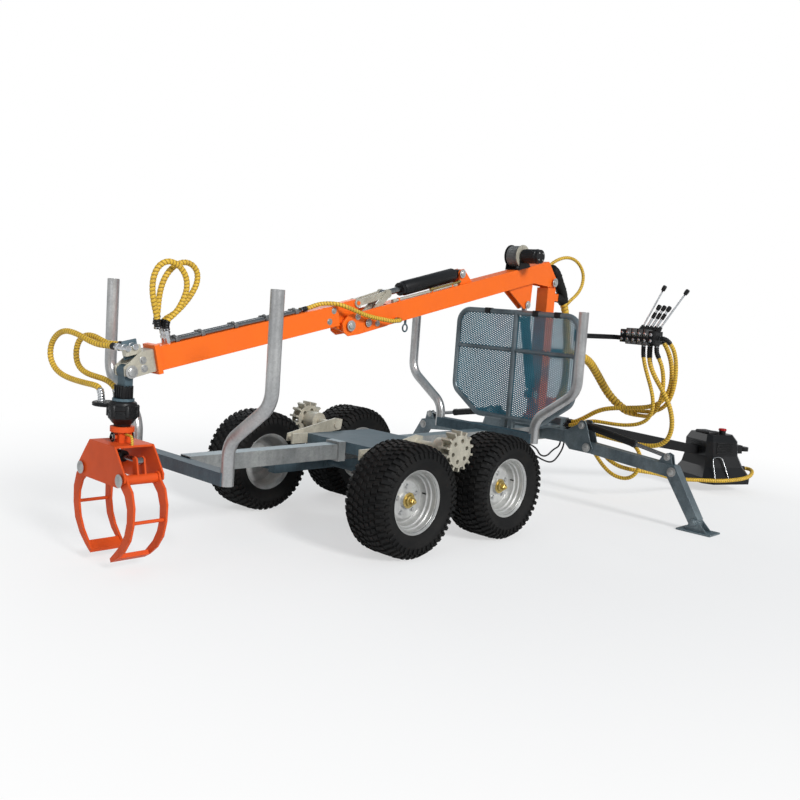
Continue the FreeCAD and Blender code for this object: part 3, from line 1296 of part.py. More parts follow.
def make_power_unit():
    """Engine and pump under a shroud that flares towards its foot; it sits astride the drawbar."""
    x = size("power_unit_reach")
    z = size("power_unit_height")
    long = size("power_unit_length")
    wide = size("power_unit_width")
    foot = z - 185
    levels = ((0, 1.0), (45, 1.0), (120, 0.80), (200, 0.66), (310, 0.62), (360, 0.48))
    wires = []
    for height, share in levels:
        upright = max(0.72, share) if height < 340 else 0.6
        front = x + long * 0.55 * share
        rear = x - long * 0.5 * upright
        right = -wide * 0.52 * share
        left = wide * 0.46 * upright
        edge = 60 * share
        ring = [(rear + edge, right), (front - edge, right), (front, right + edge), (front, left - edge),
                (front - edge, left), (rear + edge, left), (rear, left - edge), (rear, right + edge)]
        corners = [Vec(along, across, foot + height) for along, across in ring]
        wires.append(Part.makePolygon(corners + [corners[0]]))
    shroud = Part.makeLoft(wires, True, True)
    cap = Part.makeCylinder(26, 34, Vec(x + 55, -40, foot + 350), Vec(0, 0, 1))
    port = Part.makeBox(80, 36, 36, Vec(x + 162, -78, 139))
    shape = shroud.fuse([cap, port]).removeSplitter()
    half = size("drawbar_section") / 2 + size("side_play")
    low = size("drawbar_nose_height") - 32 - size("side_play")
    tunnel = Part.makeBox(900, 2 * half, 64 + 2 * size("side_play"), Vec(x - 450, -half, low))
    obj = shape_node("power_unit", shape.cut(tunnel))
    obj.Placement = DRAWBAR_FRAME
    return obj


make_power_unit()


# ---------------------------------------------------------------- control valves

BANK_LOW = size("valve_height") - 52           # lower faces of the valve sections
BANK_FRONT = size("valve_station") + size("valve_bank_depth") / 2
BANK_END = -size("valve_out") - size("valve_bank_length") / 2


def make_valve_stand():
    """Square bar from the headboard, a row of valve sections across its end, and the levers."""
    x = size("valve_station")
    y = -size("valve_out")
    z = size("valve_height")
    long = size("valve_bank_length")
    deep = size("valve_bank_depth")
    bar = size("valve_bar")
    post = -size("headboard_half")
    front = size("headboard_station") + size("headboard_tube") + size("side_play")
    cross_rear = x - deep / 2 - bar / 2
    cross_end = post + bar - (BANK_END + 20)
    pieces = [Part.makeBox(cross_rear + bar - front, bar, bar, Vec(front, post, z - bar)),
              Part.makeBox(8, 60, 80, Vec(front, post - 15, z - 55)),
              Part.makeBox(bar, cross_end, bar, Vec(cross_rear, BANK_END + 20, z - bar)),
              Part.makeBox(deep - 20, long, 70, Vec(x - deep / 2 + 10, y - long / 2, z - 35))]
    sections = 6
    section = long / sections
    for i in range(sections):
        half = 42 if i in (0, sections - 1) else 52
        low = Vec(x - deep / 2, y - long / 2 + i * section + 2, z - half)
        pieces.append(Part.makeBox(deep, section - 4, 2 * half, low))
    pieces.append(Part.makeBox(60, 120, 30, Vec(BANK_FRONT - 80, BANK_END + 5, BANK_LOW)))
    for i in range(5):
        tall = i in (0, 4)
        foot = Vec(x + 5, y + long / 2 - 110 - 30 * i, z + 30)
        lean = Vec(46, -109 - 12 * i, 278).normalize()
        length = 325 if tall else 190
        pieces.append(Part.makeCylinder(5 if tall else 8, length, foot, lean))
        pieces.append(Part.makeSphere(12, foot + lean * length))
    return pieces[0].fuse(pieces[1:]).removeSplitter()


shape_node("valve_stand", make_valve_stand())


# ---------------------------------------------------------------- hoses

HOSE_BODIES = {}


def hose_radii(points):
    """Each bend is as wide as the shorter of its two runs allows."""
    radii = [0.0] * len(points)
    for i in range(1, len(points) - 1):
        before = points[i - 1] - points[i]
        after = points[i + 1] - points[i]
        half = before.getAngle(after) / 2
        radii[i] = 0.45 * min(before.Length, after.Length) * math.tan(half)
    return radii


def hose(label, diameter, route):
    """One hose along its route of (x, y, z) points; the sleeve is a plain round tube."""
    points = [Vec(*p) for p in route]
    radii = hose_radii(points)
    wire = path_wire(points, radii)
    start = (points[1] - points[0]).normalize()
    shape = swept_round(wire, points[0], start, diameter / 2)
    expected = wire.Length * math.pi * diameter ** 2 / 4
    runs = [(b - a).Length for a, b in zip(points, points[1:])]
    turns = [180 - math.degrees((a - b).getAngle(c - b)) for a, b, c in zip(points, points[1:], points[2:])]
    print("%-14s length %4.0f  least radius %3.0f  longest run %3.0f  sharpest turn %2.0f  volume ratio %.4f"
          % (label, wire.Length, min(radii[1:-1]), max(runs), max(turns), shape.Volume / expected))
    return shape


def hose_node(label, body, parts):
    HOSE_BODIES[label] = body
    shapes = [hose(label[5:] + " " + name, diameter, route) for name, diameter, route in parts]
    return shape_node(label, Part.makeCompound(shapes) if len(shapes) > 1 else shapes[0])


BUNDLE = [(1673, 0, 1370), (1725, 0, 1370), (1768, -4, 1345), (1790, -12, 1290), (1797, -24, 1225), (1796, -36, 1150),
          (1792, -48, 1075), (1785, -60, 1000), (1775, -70, 925), (1770, -78, 855), (1766, -80, 785),
          (1758, -76, 725), (1740, -66, 678), (1708, -60, 645), (1663.3, -60, 645)]
BOOM_LOOP = [(1640, 25.3, 1370), (1640, 62, 1370), (1640, 85, 1400), (1640, 92, 1450), (1640, 92, 1510),
             (1665, 86, 1570), (1715, 76, 1612), (1780, 64, 1645), (1855, 48, 1663), (1930, 30, 1650),
             (1985, 14, 1605), (2005, 0, 1545), (1985, -10, 1480), (1940, -16, 1425), (1885, -16, 1385),
             (1835, -12, 1352), (1806, -12, 1330)]
hose_node("hose_column", "column", [("bundle", 54, BUNDLE), ("loop", 24, BOOM_LOOP)])

GATE = -size("spine_section") / 2 - 80
VALVE_BUNDLE = [(1268.3, -335, 1010), (1330, -335, 1010), (1400, -332, 1008), (1475, -328, 1003), (1550, -325, 992),
                (1625, -320, 975), (1695, -318, 945), (1760, -318, 895), (1820, -322, 840), (1875, -332, 780),
                (1920, -355, 722), (1945, -400, 675), (1952, -450, 643), (1945, -500, 628), (1945, -550, 628)]
VALVE_ONE = [(1790, -695, BANK_LOW - 0.3), (1790, -695, 1045), (1793, -705, 975), (1803, -740, 900),
             (1825, -790, 820), (1848, -835, 735), (1868, -858, 650), (1880, -862, 565), (1882, -840, 490),
             (1876, -790, 445), (1862, -720, 428), (1845, -640, 428), (1828, -555, 436), (1810, -470, 446),
             (1793, -385, 456), (1778, -300, 466), (1765, -205, 474), (1765, GATE, 474)]
VALVE_TWO = [(1775, BANK_END - 0.3, 1150), (1775, -800, 1150), (1795, -826, 1128), (1830, -842, 1085),
             (1860, -848, 1025), (1880, -848, 955), (1893, -844, 885), (1900, -833, 815), (1905, -812, 750),
             (1915, -775, 700), (1928, -725, 668), (1940, -665, 650), (1945, -605, 643), (1945, -550.3, 643)]
VALVE_THREE = [(1780, -748, BANK_LOW - 0.3), (1780, -748, 1060), (1795, -762, 1022), (1818, -778, 970),
               (1838, -786, 900), (1850, -786, 830), (1858, -776, 760), (1866, -755, 698), (1882, -718, 650),
               (1905, -675, 625), (1930, -640, 615), (1945, -600, 613), (1945, -550.3, 613)]
VALVE_FOUR = [(BANK_FRONT + 0.3, -720, 1150), (1850, -720, 1150), (1885, -738, 1125), (1905, -765, 1070),
              (1915, -790, 1000), (1916, -805, 925), (1910, -808, 850), (1900, -795, 780), (1886, -755, 722),
              (1870, -695, 690), (1853, -625, 675), (1836, -550, 665), (1820, -475, 655), (1804, -400, 640),
              (1790, -335, 612), (1778, -275, 570), (1768, -220, 535), (1765, -180, 518), (1765, GATE, 518)]
hose_node("hose_valves", "chassis", [("bundle", 58, VALVE_BUNDLE), ("one", 32, VALVE_ONE), ("two", 28, VALVE_TWO), ("three", 28, VALVE_THREE),
                                     ("four", 32, VALVE_FOUR)])


def in_drawbar(reach, across, height):
    """A point along and beside the drawbar, in the trailer's frame."""
    return tuple(DRAWBAR_FRAME.multVec(Vec(reach, across, height)))


SIDE = -size("drawbar_section") / 2
LOOP_LOW = [in_drawbar(90, SIDE, 430), in_drawbar(90, -84, 430), (1955, -185, 385), (1945, -240, 330),
            (1945, -290, 270), (1950, -345, 215), (1955, -405, 175), (1960, -470, 158), (1965, -535, 165),
            (1970, -585, 205), (1975, -605, 265), (1985, -600, 325), (2005, -565, 368), (2040, -505, 395),
            (2080, -435, 410), (2120, -365, 418), (2150, -295, 422), in_drawbar(348, -92, 424),
            in_drawbar(348, SIDE, 424)]
FEED = [in_drawbar(160, SIDE, 440), in_drawbar(160, -84, 440), (2015, -190, 395), (2000, -245, 345),
        (1992, -305, 295), (1990, -370, 255), (1995, -440, 230), (2010, -515, 222), (2050, -580, 218),
        (2115, -622, 210), (2195, -638, 195), (2280, -636, 176), (2365, -626, 156), (2450, -614, 138),
        (2535, -604, 122), (2620, -600, 110), (2700, -610, 102), (2775, -638, 98), (2842, -684, 98),
        in_drawbar(1225, -268, 100), in_drawbar(1305, -279, 104), in_drawbar(1388, -281, 110),
        in_drawbar(1468, -275, 118), in_drawbar(1542, -255, 130), in_drawbar(1600, -212, 142),
        in_drawbar(1655, -155, 150), in_drawbar(1682, -100, 155), in_drawbar(1660, -60, 157),
        in_drawbar(1612.3, -60, 157)]
hose_node("hose_drawbar", "drawbar", [("loop", 28, LOOP_LOW), ("feed", 30, FEED)])

ELBOW_RISE = size("stick_rise") + size("stick_depth") / 2 + 60
ELBOW_LEFT = in_stick(STICK_PIPE[1], ELBOW_RISE, 15)
ELBOW_RIGHT = in_stick(STICK_PIPE[1], ELBOW_RISE, -15)
PORT_START = in_boom(KNUCKLE_PORT[0], KNUCKLE_PORT[1])
TIP_LOOP = [tuple(ELBOW_RIGHT), tuple(in_stick(STICK_PIPE[1], ELBOW_RISE + 42, -15)), (-1350, -18, 1142),
            (-1318, -20, 1195), (-1297, -22, 1255), (-1306, -24, 1315), (-1348, -26, 1362), (-1405, -28, 1378), (-1455, -30, 1352), (-1480, -30, 1297),
            (-1480, -28, 1235), (-1466, -26, 1175), (-1448, -24, 1120), (-1440, -20, 1070)]
TIP_LOOP_TWO = [tuple(ELBOW_LEFT), tuple(in_stick(STICK_PIPE[1], ELBOW_RISE + 42, 15)), (-1332, 20, 1138),
                (-1285, 24, 1180), (-1240, 28, 1232), (-1208, 30, 1292), (-1215, 30, 1350), (-1265, 30, 1382), (-1325, 28, 1368), (-1375, 24, 1325),
                (-1405, 20, 1268), (-1418, 18, 1205), (-1422, 16, 1145), (-1428, 16, 1085)]
PIPE_RISE = size("stick_rise") + size("stick_depth") / 2 + 13.3
KNUCKLE_HOSE = [tuple(in_stick(STICK_PIPE[0] - 0.3, PIPE_RISE, -15)), tuple(in_stick(256, PIPE_RISE, -15)),
                (-508, -19, 1222),
                (-452, -34, 1232), (-400, -66, 1232), (-345, -86, 1216), (-285, -94, 1197), (-220, -96, 1180),
                (-155, -96, 1170), (-95, -104, 1163), (-38, -112, 1156), (PORT_START.x, -112, PORT_START.z),
                (PORT_START.x, -60.3, PORT_START.z)]
hose_node("hose_stick", "stick", [("one", 28, TIP_LOOP), ("two", 28, TIP_LOOP_TWO), ("knuckle", 24, KNUCKLE_HOSE)])

PORT_ONE = in_stick(TIP_PORTS[1], TIP_PORT_RISE, 60.3)
PORT_TWO = in_stick(TIP_PORTS[0], TIP_PORT_RISE, 60.3)
LEFT_ONE = [tuple(PORT_ONE), (PORT_ONE.x, 112, PORT_ONE.z), (-1612, 168, 978), (-1622, 230, 985), (-1632, 305, 1005),
            (-1640, 380, 1020), (-1645, 455, 1022), (-1648, 525, 1000), (-1650, 580, 952), (-1650, 590, 890),
            (-1648, 550, 842), (-1645, 485, 815), (-1640, 410, 803), (-1636, 335, 798), (-1634, 262, 796),
            (-1632, 190, 796), (-1630, 142, 792), (-1630, 112, 766), (-1630, 112, ROTATOR_PORT_TOP + 0.3)]
LEFT_TWO = [tuple(PORT_TWO), (PORT_TWO.x, 112, PORT_TWO.z), (-1574, 164, 985), (-1580, 220, 995), (-1588, 285, 1012),
            (-1594, 350, 1010), (-1598, 405, 982), (-1600, 428, 930), (-1600, 415, 876), (-1598, 370, 845),
            (-1594, 310, 832), (-1588, 245, 826), (-1580, 185, 822), (-1574, 128, 808), (-1570, 86, 778),
            (-1570, 86, ROTATOR_PORT_TOP + 0.3)]
hose_node("hose_tip", "hanger", [("one", 28, LEFT_ONE), ("two", 28, LEFT_TWO)])

NECK = size("rotator_station")
RING_LEFT = [(NECK, 32.3, 598), (NECK, 60, 598), (NECK + 6, 88, 600), (NECK + 10, 108, 590), (NECK + 10, 108, 562.3)]
RING_RIGHT = [(NECK, -32.3, 598), (NECK, -60, 598), (NECK - 6, -88, 600), (NECK - 10, -108, 590),
              (NECK - 10, -108, 562.3)]
hose_node("hose_grapple", "grapple", [("left", 12, RING_LEFT), ("right", 12, RING_RIGHT)])


# ---------------------------------------------------------------- output

doc.recompute()
reach = FreeCAD.BoundBox()
for label, obj in NODES.items():
    if label not in HOSE_BODIES:
        reach.add(obj.Shape.BoundBox)
middle = (reach.XMin + reach.XMax) / 2
for obj in NODES.values():
    bound = dict(obj.ExpressionEngine)
    if ".Placement.Base.x" in bound:
        obj.setExpression(".Placement.Base.x", "%s - %.3f" % (bound[".Placement.Base.x"], middle))
    else:
        obj.Placement.Base.x -= middle
doc.recompute()
print("overall", round(reach.XLength, 1), round(reach.YLength, 1), round(reach.ZLength, 1), "middle", round(middle, 2))

os.makedirs("parts", exist_ok=True)
broken = [obj.Label for obj in doc.Objects if "Invalid" in obj.State or "Error" in obj.State]
if broken:
    raise RuntimeError("objects that failed: " + ", ".join(broken))
for label, obj in NODES.items():
    if obj.Shape.isNull() or not obj.Shape.isValid():
        raise RuntimeError("bad shape: " + label)
    obj.Shape.exportStep("parts/%s.step" % label)
print(len(NODES), "nodes")
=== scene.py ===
"""Looks of a forestry trailer with a loading crane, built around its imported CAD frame."""
import json
import math

import bmesh
import bpy
import numpy as np
from mathutils import Matrix, Vector
from mathutils.bvhtree import BVHTree


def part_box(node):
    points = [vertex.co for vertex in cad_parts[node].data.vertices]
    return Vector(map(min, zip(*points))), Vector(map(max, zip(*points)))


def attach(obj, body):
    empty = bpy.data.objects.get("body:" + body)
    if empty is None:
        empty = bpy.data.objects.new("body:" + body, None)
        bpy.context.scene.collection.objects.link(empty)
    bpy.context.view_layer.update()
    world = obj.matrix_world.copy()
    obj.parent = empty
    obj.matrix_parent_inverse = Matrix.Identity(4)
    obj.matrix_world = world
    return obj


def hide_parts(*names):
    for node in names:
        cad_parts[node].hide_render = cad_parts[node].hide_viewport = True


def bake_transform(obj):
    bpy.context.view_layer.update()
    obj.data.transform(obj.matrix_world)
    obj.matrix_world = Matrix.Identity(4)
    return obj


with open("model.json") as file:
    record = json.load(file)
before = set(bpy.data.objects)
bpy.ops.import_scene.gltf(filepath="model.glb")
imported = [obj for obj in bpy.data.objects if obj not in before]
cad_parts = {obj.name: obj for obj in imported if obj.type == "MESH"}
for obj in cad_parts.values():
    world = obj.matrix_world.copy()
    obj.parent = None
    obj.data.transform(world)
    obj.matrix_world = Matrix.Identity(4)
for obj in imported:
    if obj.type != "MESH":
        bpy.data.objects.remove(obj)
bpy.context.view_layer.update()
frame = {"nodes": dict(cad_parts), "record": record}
NODES = frame["nodes"]
BODY_OF = {node: body for body, nodes in frame["record"]["behaviour"]["bodies"].items() for node in nodes}
MIDDLE = 891.0  # mm from the bogie to the middle of the trailer
UP = (0, 0, 1)


def at(x, y, z):
    """A point given in mm from the bogie, in metres in the row frame."""
    return Vector(((x - MIDDLE) / 1000, y / 1000, z / 1000))


# ---------------------------------------------------------------- camera and room

def make_camera():
    """The photo's camera, as fitted to the picture."""
    yaw, pitch, roll = (math.radians(a) for a in (43.636, -6.175, 4.058))
    forward = Vector((math.cos(pitch) * math.cos(yaw), math.cos(pitch) * math.sin(yaw), math.sin(pitch)))
    level = Vector((math.sin(yaw), -math.cos(yaw), 0))
    upright = level.cross(forward)
    right = math.cos(roll) * level + math.sin(roll) * upright
    up = -math.sin(roll) * level + math.cos(roll) * upright
    data = bpy.data.cameras.new("camera")
    data.lens = 40.806
    data.sensor_width = 36
    camera = bpy.data.objects.new("camera", data)
    matrix = Matrix((right, up, -forward)).transposed().to_4x4()
    matrix.translation = Vector((-4.518, -3.638, 1.267))
    camera.matrix_world = matrix
    bpy.context.scene.collection.objects.link(camera)
    bpy.context.scene.camera = camera


def make_lamp(name, kind, place, target, energy, size=1.0, angle=0.1):
    """A lamp that looks at its target; size is for a disc, angle for a sun."""
    data = bpy.data.lights.new(name, kind)
    data.energy = energy
    if kind == "AREA":
        data.shape = "DISK"
        data.size = size
    else:
        data.angle = angle
    lamp = bpy.data.objects.new(name, data)
    lamp.location = place
    lamp.rotation_euler = (Vector(target) - Vector(place)).to_track_quat("-Z", "Y").to_euler()
    bpy.context.scene.collection.objects.link(lamp)


def add_node(tree, kind, inputs=None, **attributes):
    """A new shader node with its attributes and the constants on its inputs."""
    made = tree.nodes.new("ShaderNode" + kind)
    for name, value in attributes.items():
        setattr(made, name, value)
    for socket, value in (inputs or {}).items():
        made.inputs[socket].default_value = value
    return made


def make_world():
    """White to the camera; to the object a bright horizon under a darker sky."""
    world = bpy.data.worlds.new("studio")
    bpy.context.scene.world = world
    world.use_nodes = True
    tree = world.node_tree
    tree.nodes.clear()
    link = tree.links.new
    out = add_node(tree, "OutputWorld")
    seen = add_node(tree, "Background", {"Color": (1, 1, 1, 1), "Strength": 1.0})
    lit = add_node(tree, "Background", {"Strength": 0.53})
    sky = add_node(tree, "ValToRGB")
    horizon, zenith = sky.color_ramp.elements
    horizon.position = 0.5
    horizon.color = (0.92, 0.92, 0.92, 1)
    zenith.position = 0.85
    zenith.color = (0.55, 0.62, 0.68, 1)
    place = add_node(tree, "TexCoord")
    split = add_node(tree, "SeparateXYZ")
    lift = add_node(tree, "Math", {1: 0.5, 2: 0.5}, operation="MULTIPLY_ADD")
    path = add_node(tree, "LightPath")
    mix = add_node(tree, "MixShader")
    link(place.outputs["Generated"], split.inputs[0])
    link(split.outputs["Z"], lift.inputs[0])
    link(lift.outputs[0], sky.inputs[0])
    link(sky.outputs["Color"], lit.inputs["Color"])
    link(path.outputs["Is Camera Ray"], mix.inputs[0])
    link(lit.outputs[0], mix.inputs[1])
    link(seen.outputs[0], mix.inputs[2])
    link(mix.outputs[0], out.inputs["Surface"])


def make_floor():
    """Matt paper under the object, which fades to plain white further out."""
    bpy.ops.mesh.primitive_plane_add(size=60, location=(0, 0, -0.001))
    floor = bpy.context.object
    floor.name = "floor"
    paint = bpy.data.materials.new("floor_paper")
    paint.use_nodes = True
    tree = paint.node_tree
    tree.nodes.clear()
    link = tree.links.new
    out = add_node(tree, "OutputMaterial")
    paper = add_node(tree, "BsdfDiffuse", {"Color": (0.86, 0.86, 0.86, 1)})
    glow = add_node(tree, "Emission", {"Color": (1, 1, 1, 1)})
    place = add_node(tree, "TexCoord")
    length = add_node(tree, "VectorMath", operation="LENGTH")
    fade = add_node(tree, "MapRange", {"From Min": 1.6, "From Max": 4.6, "To Min": 0.55, "To Max": 1.0},
                    interpolation_type="SMOOTHSTEP")
    path = add_node(tree, "LightPath")
    both = add_node(tree, "Math", operation="MULTIPLY")
    mix = add_node(tree, "MixShader")
    link(place.outputs["Object"], length.inputs[0])
    link(length.outputs["Value"], fade.inputs["Value"])
    link(path.outputs["Is Camera Ray"], both.inputs[0])
    link(fade.outputs["Result"], both.inputs[1])
    link(both.outputs[0], mix.inputs[0])
    link(paper.outputs[0], mix.inputs[1])
    link(glow.outputs[0], mix.inputs[2])
    link(mix.outputs[0], out.inputs["Surface"])
    floor.data.materials.append(paint)


def make_room():
    bpy.context.scene.view_settings.view_transform = "Standard"
    make_world()
    make_lamp("key", "SUN", (-0.6, -5.0, 3.4), (0, 0, 0.5), 2.45, angle=0.25)
    make_lamp("fill", "AREA", (-6.0, -1.0, 3.0), (-0.5, 0, 0.6), 30, size=4.0)
    make_lamp("back", "AREA", (2.0, 5.0, 3.5), (0, 0, 0.6), 70, size=4.0)
    make_floor()


make_camera()
make_room()


# ---------------------------------------------------------------- materials

class Surface:
    """A Principled material whose colour, roughness and bump come from nodes."""

    def __init__(self, name, rough, metal=0.0):
        self.material = bpy.data.materials.new(name)
        self.material.use_nodes = True
        self.tree = self.material.node_tree
        self.shader = self.tree.nodes["Principled BSDF"]
        self.shader.inputs["Metallic"].default_value = metal
        self.shader.inputs["Roughness"].default_value = rough
        self.place = self.add("TexCoord").outputs["Object"]

    def add(self, kind, inputs=None, **attributes):
        return add_node(self.tree, kind, inputs, **attributes)

    def link(self, a, b):
        self.tree.links.new(a, b)

    def noise(self, scale, detail=3.0, rough=0.5, stretch=None):
        made = self.add("TexNoise", {"Scale": scale, "Detail": detail, "Roughness": rough})
        self.link(self.stretched(stretch), made.inputs["Vector"])
        return made.outputs["Fac"]

    def stretched(self, stretch):
        if stretch is None:
            return self.place
        made = self.add("Mapping", {"Scale": stretch})
        self.link(self.place, made.inputs["Vector"])
        return made.outputs["Vector"]

    def cells(self, scale):
        made = self.add("TexVoronoi", {"Scale": scale})
        self.link(self.place, made.inputs["Vector"])
        return made.outputs["Color"]

    def ramp(self, value, stops):
        made = self.add("ValToRGB")
        ramp = made.color_ramp
        while len(ramp.elements) < len(stops):
            ramp.elements.new(0.5)
        for element, (position, colour) in zip(ramp.elements, stops):
            element.position = position
            element.color = (*colour, 1) if hasattr(colour, "__len__") else (colour, colour, colour, 1)
        self.link(value, made.inputs["Fac"])
        return made.outputs["Color"]

    def mix(self, factor, a, b, how="MIX"):
        made = self.add("Mix", data_type="RGBA", blend_type=how)
        for name, value in (("Factor", factor), ("A", a), ("B", b)):
            if hasattr(value, "is_linked"):
                self.link(value, made.inputs[name])
            elif hasattr(value, "__len__"):
                made.inputs[name].default_value = (*value, 1)
            else:
                made.inputs[name].default_value = value
        return made.outputs["Result"]

    def multiplied(self, base, *layers):
        for layer in layers:
            base = self.mix(1.0, base, layer, "MULTIPLY")
        return base

    def colour(self, value):
        self.link(value, self.shader.inputs["Base Color"])

    def rough(self, value, low, high):
        made = self.add("MapRange", {"To Min": low, "To Max": high})
        self.link(value, made.inputs["Value"])
        self.link(made.outputs["Result"], self.shader.inputs["Roughness"])

    def bump(self, value, strength, distance, round_edge=0.0):
        made = self.add("Bump", {"Strength": strength, "Distance": distance})
        self.link(value, made.inputs["Height"])
        if round_edge:
            bevel = self.add("Bevel", {"Radius": round_edge}, samples=4)
            self.link(bevel.outputs["Normal"], made.inputs["Normal"])
        self.link(made.outputs["Normal"], self.shader.inputs["Normal"])

    def upward(self, low, high):
        """1 where the surface looks up, 0 where it looks aside or down."""
        normal = self.add("NewGeometry").outputs["Normal"]
        split = self.add("SeparateXYZ")
        self.link(normal, split.inputs[0])
        made = self.add("MapRange", {"From Min": low, "From Max": high}, interpolation_type="SMOOTHSTEP")
        self.link(split.outputs["Z"], made.inputs["Value"])
        return made.outputs["Result"]


def galvanised(name, light, dark, top=None, rough=(0.34, 0.52), metal=0.4, edge=0.002, speck=0.12):
    """Hot-dip zinc: soft clouds, faint crystals and drips, and a painted sky reflection, duller and bluer,
    on faces that look up.
    """
    s = Surface(name, 0.45, metal)
    clouds = s.noise(5.0, 5.0, 0.6)
    base = s.mix(s.ramp(clouds, [(0.36, 0.0), (0.64, 1.0)]), dark, light)
    crystals = s.ramp(s.cells(130), [(0.2, 1 - speck), (0.8, 1.0)])
    drips = s.ramp(s.noise(9.0, 4.0, 0.6, (3.0, 3.0, 0.25)), [(0.34, 0.86), (0.6, 1.0)])
    grime = s.ramp(s.noise(22.0, 6.0, 0.7), [(0.60, 1.0), (0.76, 0.62)])
    base = s.multiplied(base, crystals, drips, grime)
    # Painted sky reflection: skin is the top colour with the drips on it, laid on faces that look up.
    if top:
        skin = s.multiplied(s.mix(0.25, top, base), drips)
        base = s.mix(s.upward(0.55, 0.95), base, skin)
    s.colour(base)
    s.rough(clouds, *rough)
    s.bump(s.noise(90.0, 3.0), 0.08, 0.002, edge)
    return s.material


def painted(name, colour, dull, rough=(0.34, 0.5), grit=260.0, shine=0.3, coat=0.06):
    """Semi-gloss paint with faint orange peel, a duller tone in soft clouds and wear in patches."""
    s = Surface(name, 0.4)
    clouds = s.noise(4.0, 6.0, 0.65)
    scuffs = s.noise(38.0, 6.0, 0.75)
    base = s.mix(s.ramp(clouds, [(0.42, 0.0), (0.75, 0.7)]), colour, dull)
    s.colour(s.mix(s.ramp(scuffs, [(0.66, 0.0), (0.74, 0.30)]), base, tuple(c * 0.55 for c in colour)))
    s.rough(clouds, *rough)
    s.bump(s.noise(grit, 2.0), 0.05, 0.001, 0.002)
    s.shader.inputs["Specular IOR Level"].default_value = shine
    s.shader.inputs["Coat Weight"].default_value = coat
    s.shader.inputs["Coat Roughness"].default_value = 0.25
    return s.material


def rubber(name, colour, dust, rough=(0.6, 0.8)):
    """Matt black rubber with dust in patches."""
    s = Surface(name, 0.65)
    clouds = s.noise(14.0, 5.0, 0.6)
    s.colour(s.mix(s.ramp(clouds, [(0.45, 0.0), (0.8, 0.6)]), colour, dust))
    s.rough(clouds, *rough)
    s.bump(s.noise(180.0, 3.0), 0.12, 0.001)
    s.shader.inputs["Specular IOR Level"].default_value = 0.22
    return s.material


def sleeve_plastic(name, colour, shade, groove):
    """Spiral guard round a hose, with painted shade between its turns."""
    s = Surface(name, 0.4)
    clouds = s.noise(16.0, 5.0, 0.65)
    base = s.mix(s.ramp(clouds, [(0.38, 0.0), (0.72, 0.75)]), colour, shade)
    # Painted shade: the groove colour darkens the sleeve where the groove attribute marks the hollow between
    # turns.
    groove_shade_mask = s.add("Attribute", attribute_name="groove").outputs["Fac"]
    s.colour(s.mix(s.ramp(groove_shade_mask, [(0.15, 0.0), (0.95, 1.0)]), base, groove))
    s.rough(clouds, 0.34, 0.55)
    s.bump(s.noise(300.0, 2.0), 0.06, 0.0006)
    s.shader.inputs["Specular IOR Level"].default_value = 0.35
    return s.material


def polished(name, colour, rough=(0.12, 0.24)):
    """Bare bright metal with faint streaks."""
    s = Surface(name, 0.18, 1.0)
    streaks = s.noise(60.0, 4.0, 0.6, (0.4, 0.4, 4.0))
    s.colour(s.ramp(streaks, [(0.3, tuple(c * 0.8 for c in colour)), (0.7, colour)]))
    s.rough(streaks, *rough)
    s.bump(streaks, 0.01, 0.0003)
    return s.material


# The fourth colour given to galvanised is a painted sky reflection for faces that look up.
ZINC = galvanised("zinc_bright", (0.62, 0.62, 0.61), (0.46, 0.46, 0.46), (0.26, 0.34, 0.36),
                  rough=(0.26, 0.40), metal=0.78)
ZINC_SPINE = galvanised("zinc_spine", (0.40, 0.41, 0.40), (0.24, 0.25, 0.25), (0.12, 0.20, 0.24))
# Its light and dark colours are zinc darkened by painted shade and tinted blue by a painted sky reflection.
ZINC_BLUE = galvanised("zinc_painted_shade_and_sky_blue", (0.10, 0.155, 0.185), (0.062, 0.10, 0.125), (0.012, 0.058, 0.085),
                       rough=(0.42, 0.6), metal=0.28)
ZINC_GREY = galvanised("zinc_grey", (0.21, 0.255, 0.275), (0.125, 0.16, 0.18), (0.10, 0.16, 0.19),
                       rough=(0.3, 0.48), metal=0.5)
ZINC_RIM = galvanised("zinc_rim", (0.66, 0.66, 0.64), (0.46, 0.46, 0.45),
                      rough=(0.28, 0.45), metal=0.5, edge=0.003, speck=0.06)
ZINC_BOLT = galvanised("zinc_bolt", (0.62, 0.62, 0.60), (0.42, 0.42, 0.41),
                       rough=(0.28, 0.42), metal=0.7, edge=0)
CREAM = galvanised("zinc_cream", (0.66, 0.62, 0.51), (0.44, 0.41, 0.33), (0.52, 0.52, 0.45), metal=0.25)
MESH = galvanised("zinc_mesh", (0.045, 0.24, 0.33), (0.03, 0.17, 0.25), metal=0.3, edge=0)
ORANGE = painted("orange_enamel", (0.90, 0.150, 0.008), (0.84, 0.135, 0.010))
ORANGE_DULL = painted("orange_enamel_worn", (0.70, 0.085, 0.012), (0.52, 0.062, 0.012), (0.45, 0.62),
                      shine=0.2)
BLACK = painted("black_enamel", (0.0045, 0.0045, 0.005), (0.011, 0.011, 0.012), (0.35, 0.5))
BLACK_GLOSS = painted("black_gloss", (0.004, 0.004, 0.0045), (0.009, 0.009, 0.010), (0.22, 0.4), coat=0.12)
BLACK_PLASTIC = painted("black_moulding", (0.004, 0.004, 0.0045), (0.010, 0.010, 0.011), (0.35, 0.55),
                        grit=420.0)
GREY_CAST = galvanised("grey_casting", (0.27, 0.27, 0.265), (0.13, 0.135, 0.135),
                       rough=(0.38, 0.55), metal=0.5, edge=0.0015, speck=0.2)
CHROME = polished("hard_chrome", (0.74, 0.75, 0.76), (0.18, 0.3))
STEEL_PIPE = polished("steel_pipe", (0.30, 0.305, 0.31), (0.2, 0.34))
YELLOW_ZINC = polished("yellow_zinc", (0.62, 0.47, 0.17), (0.3, 0.45))
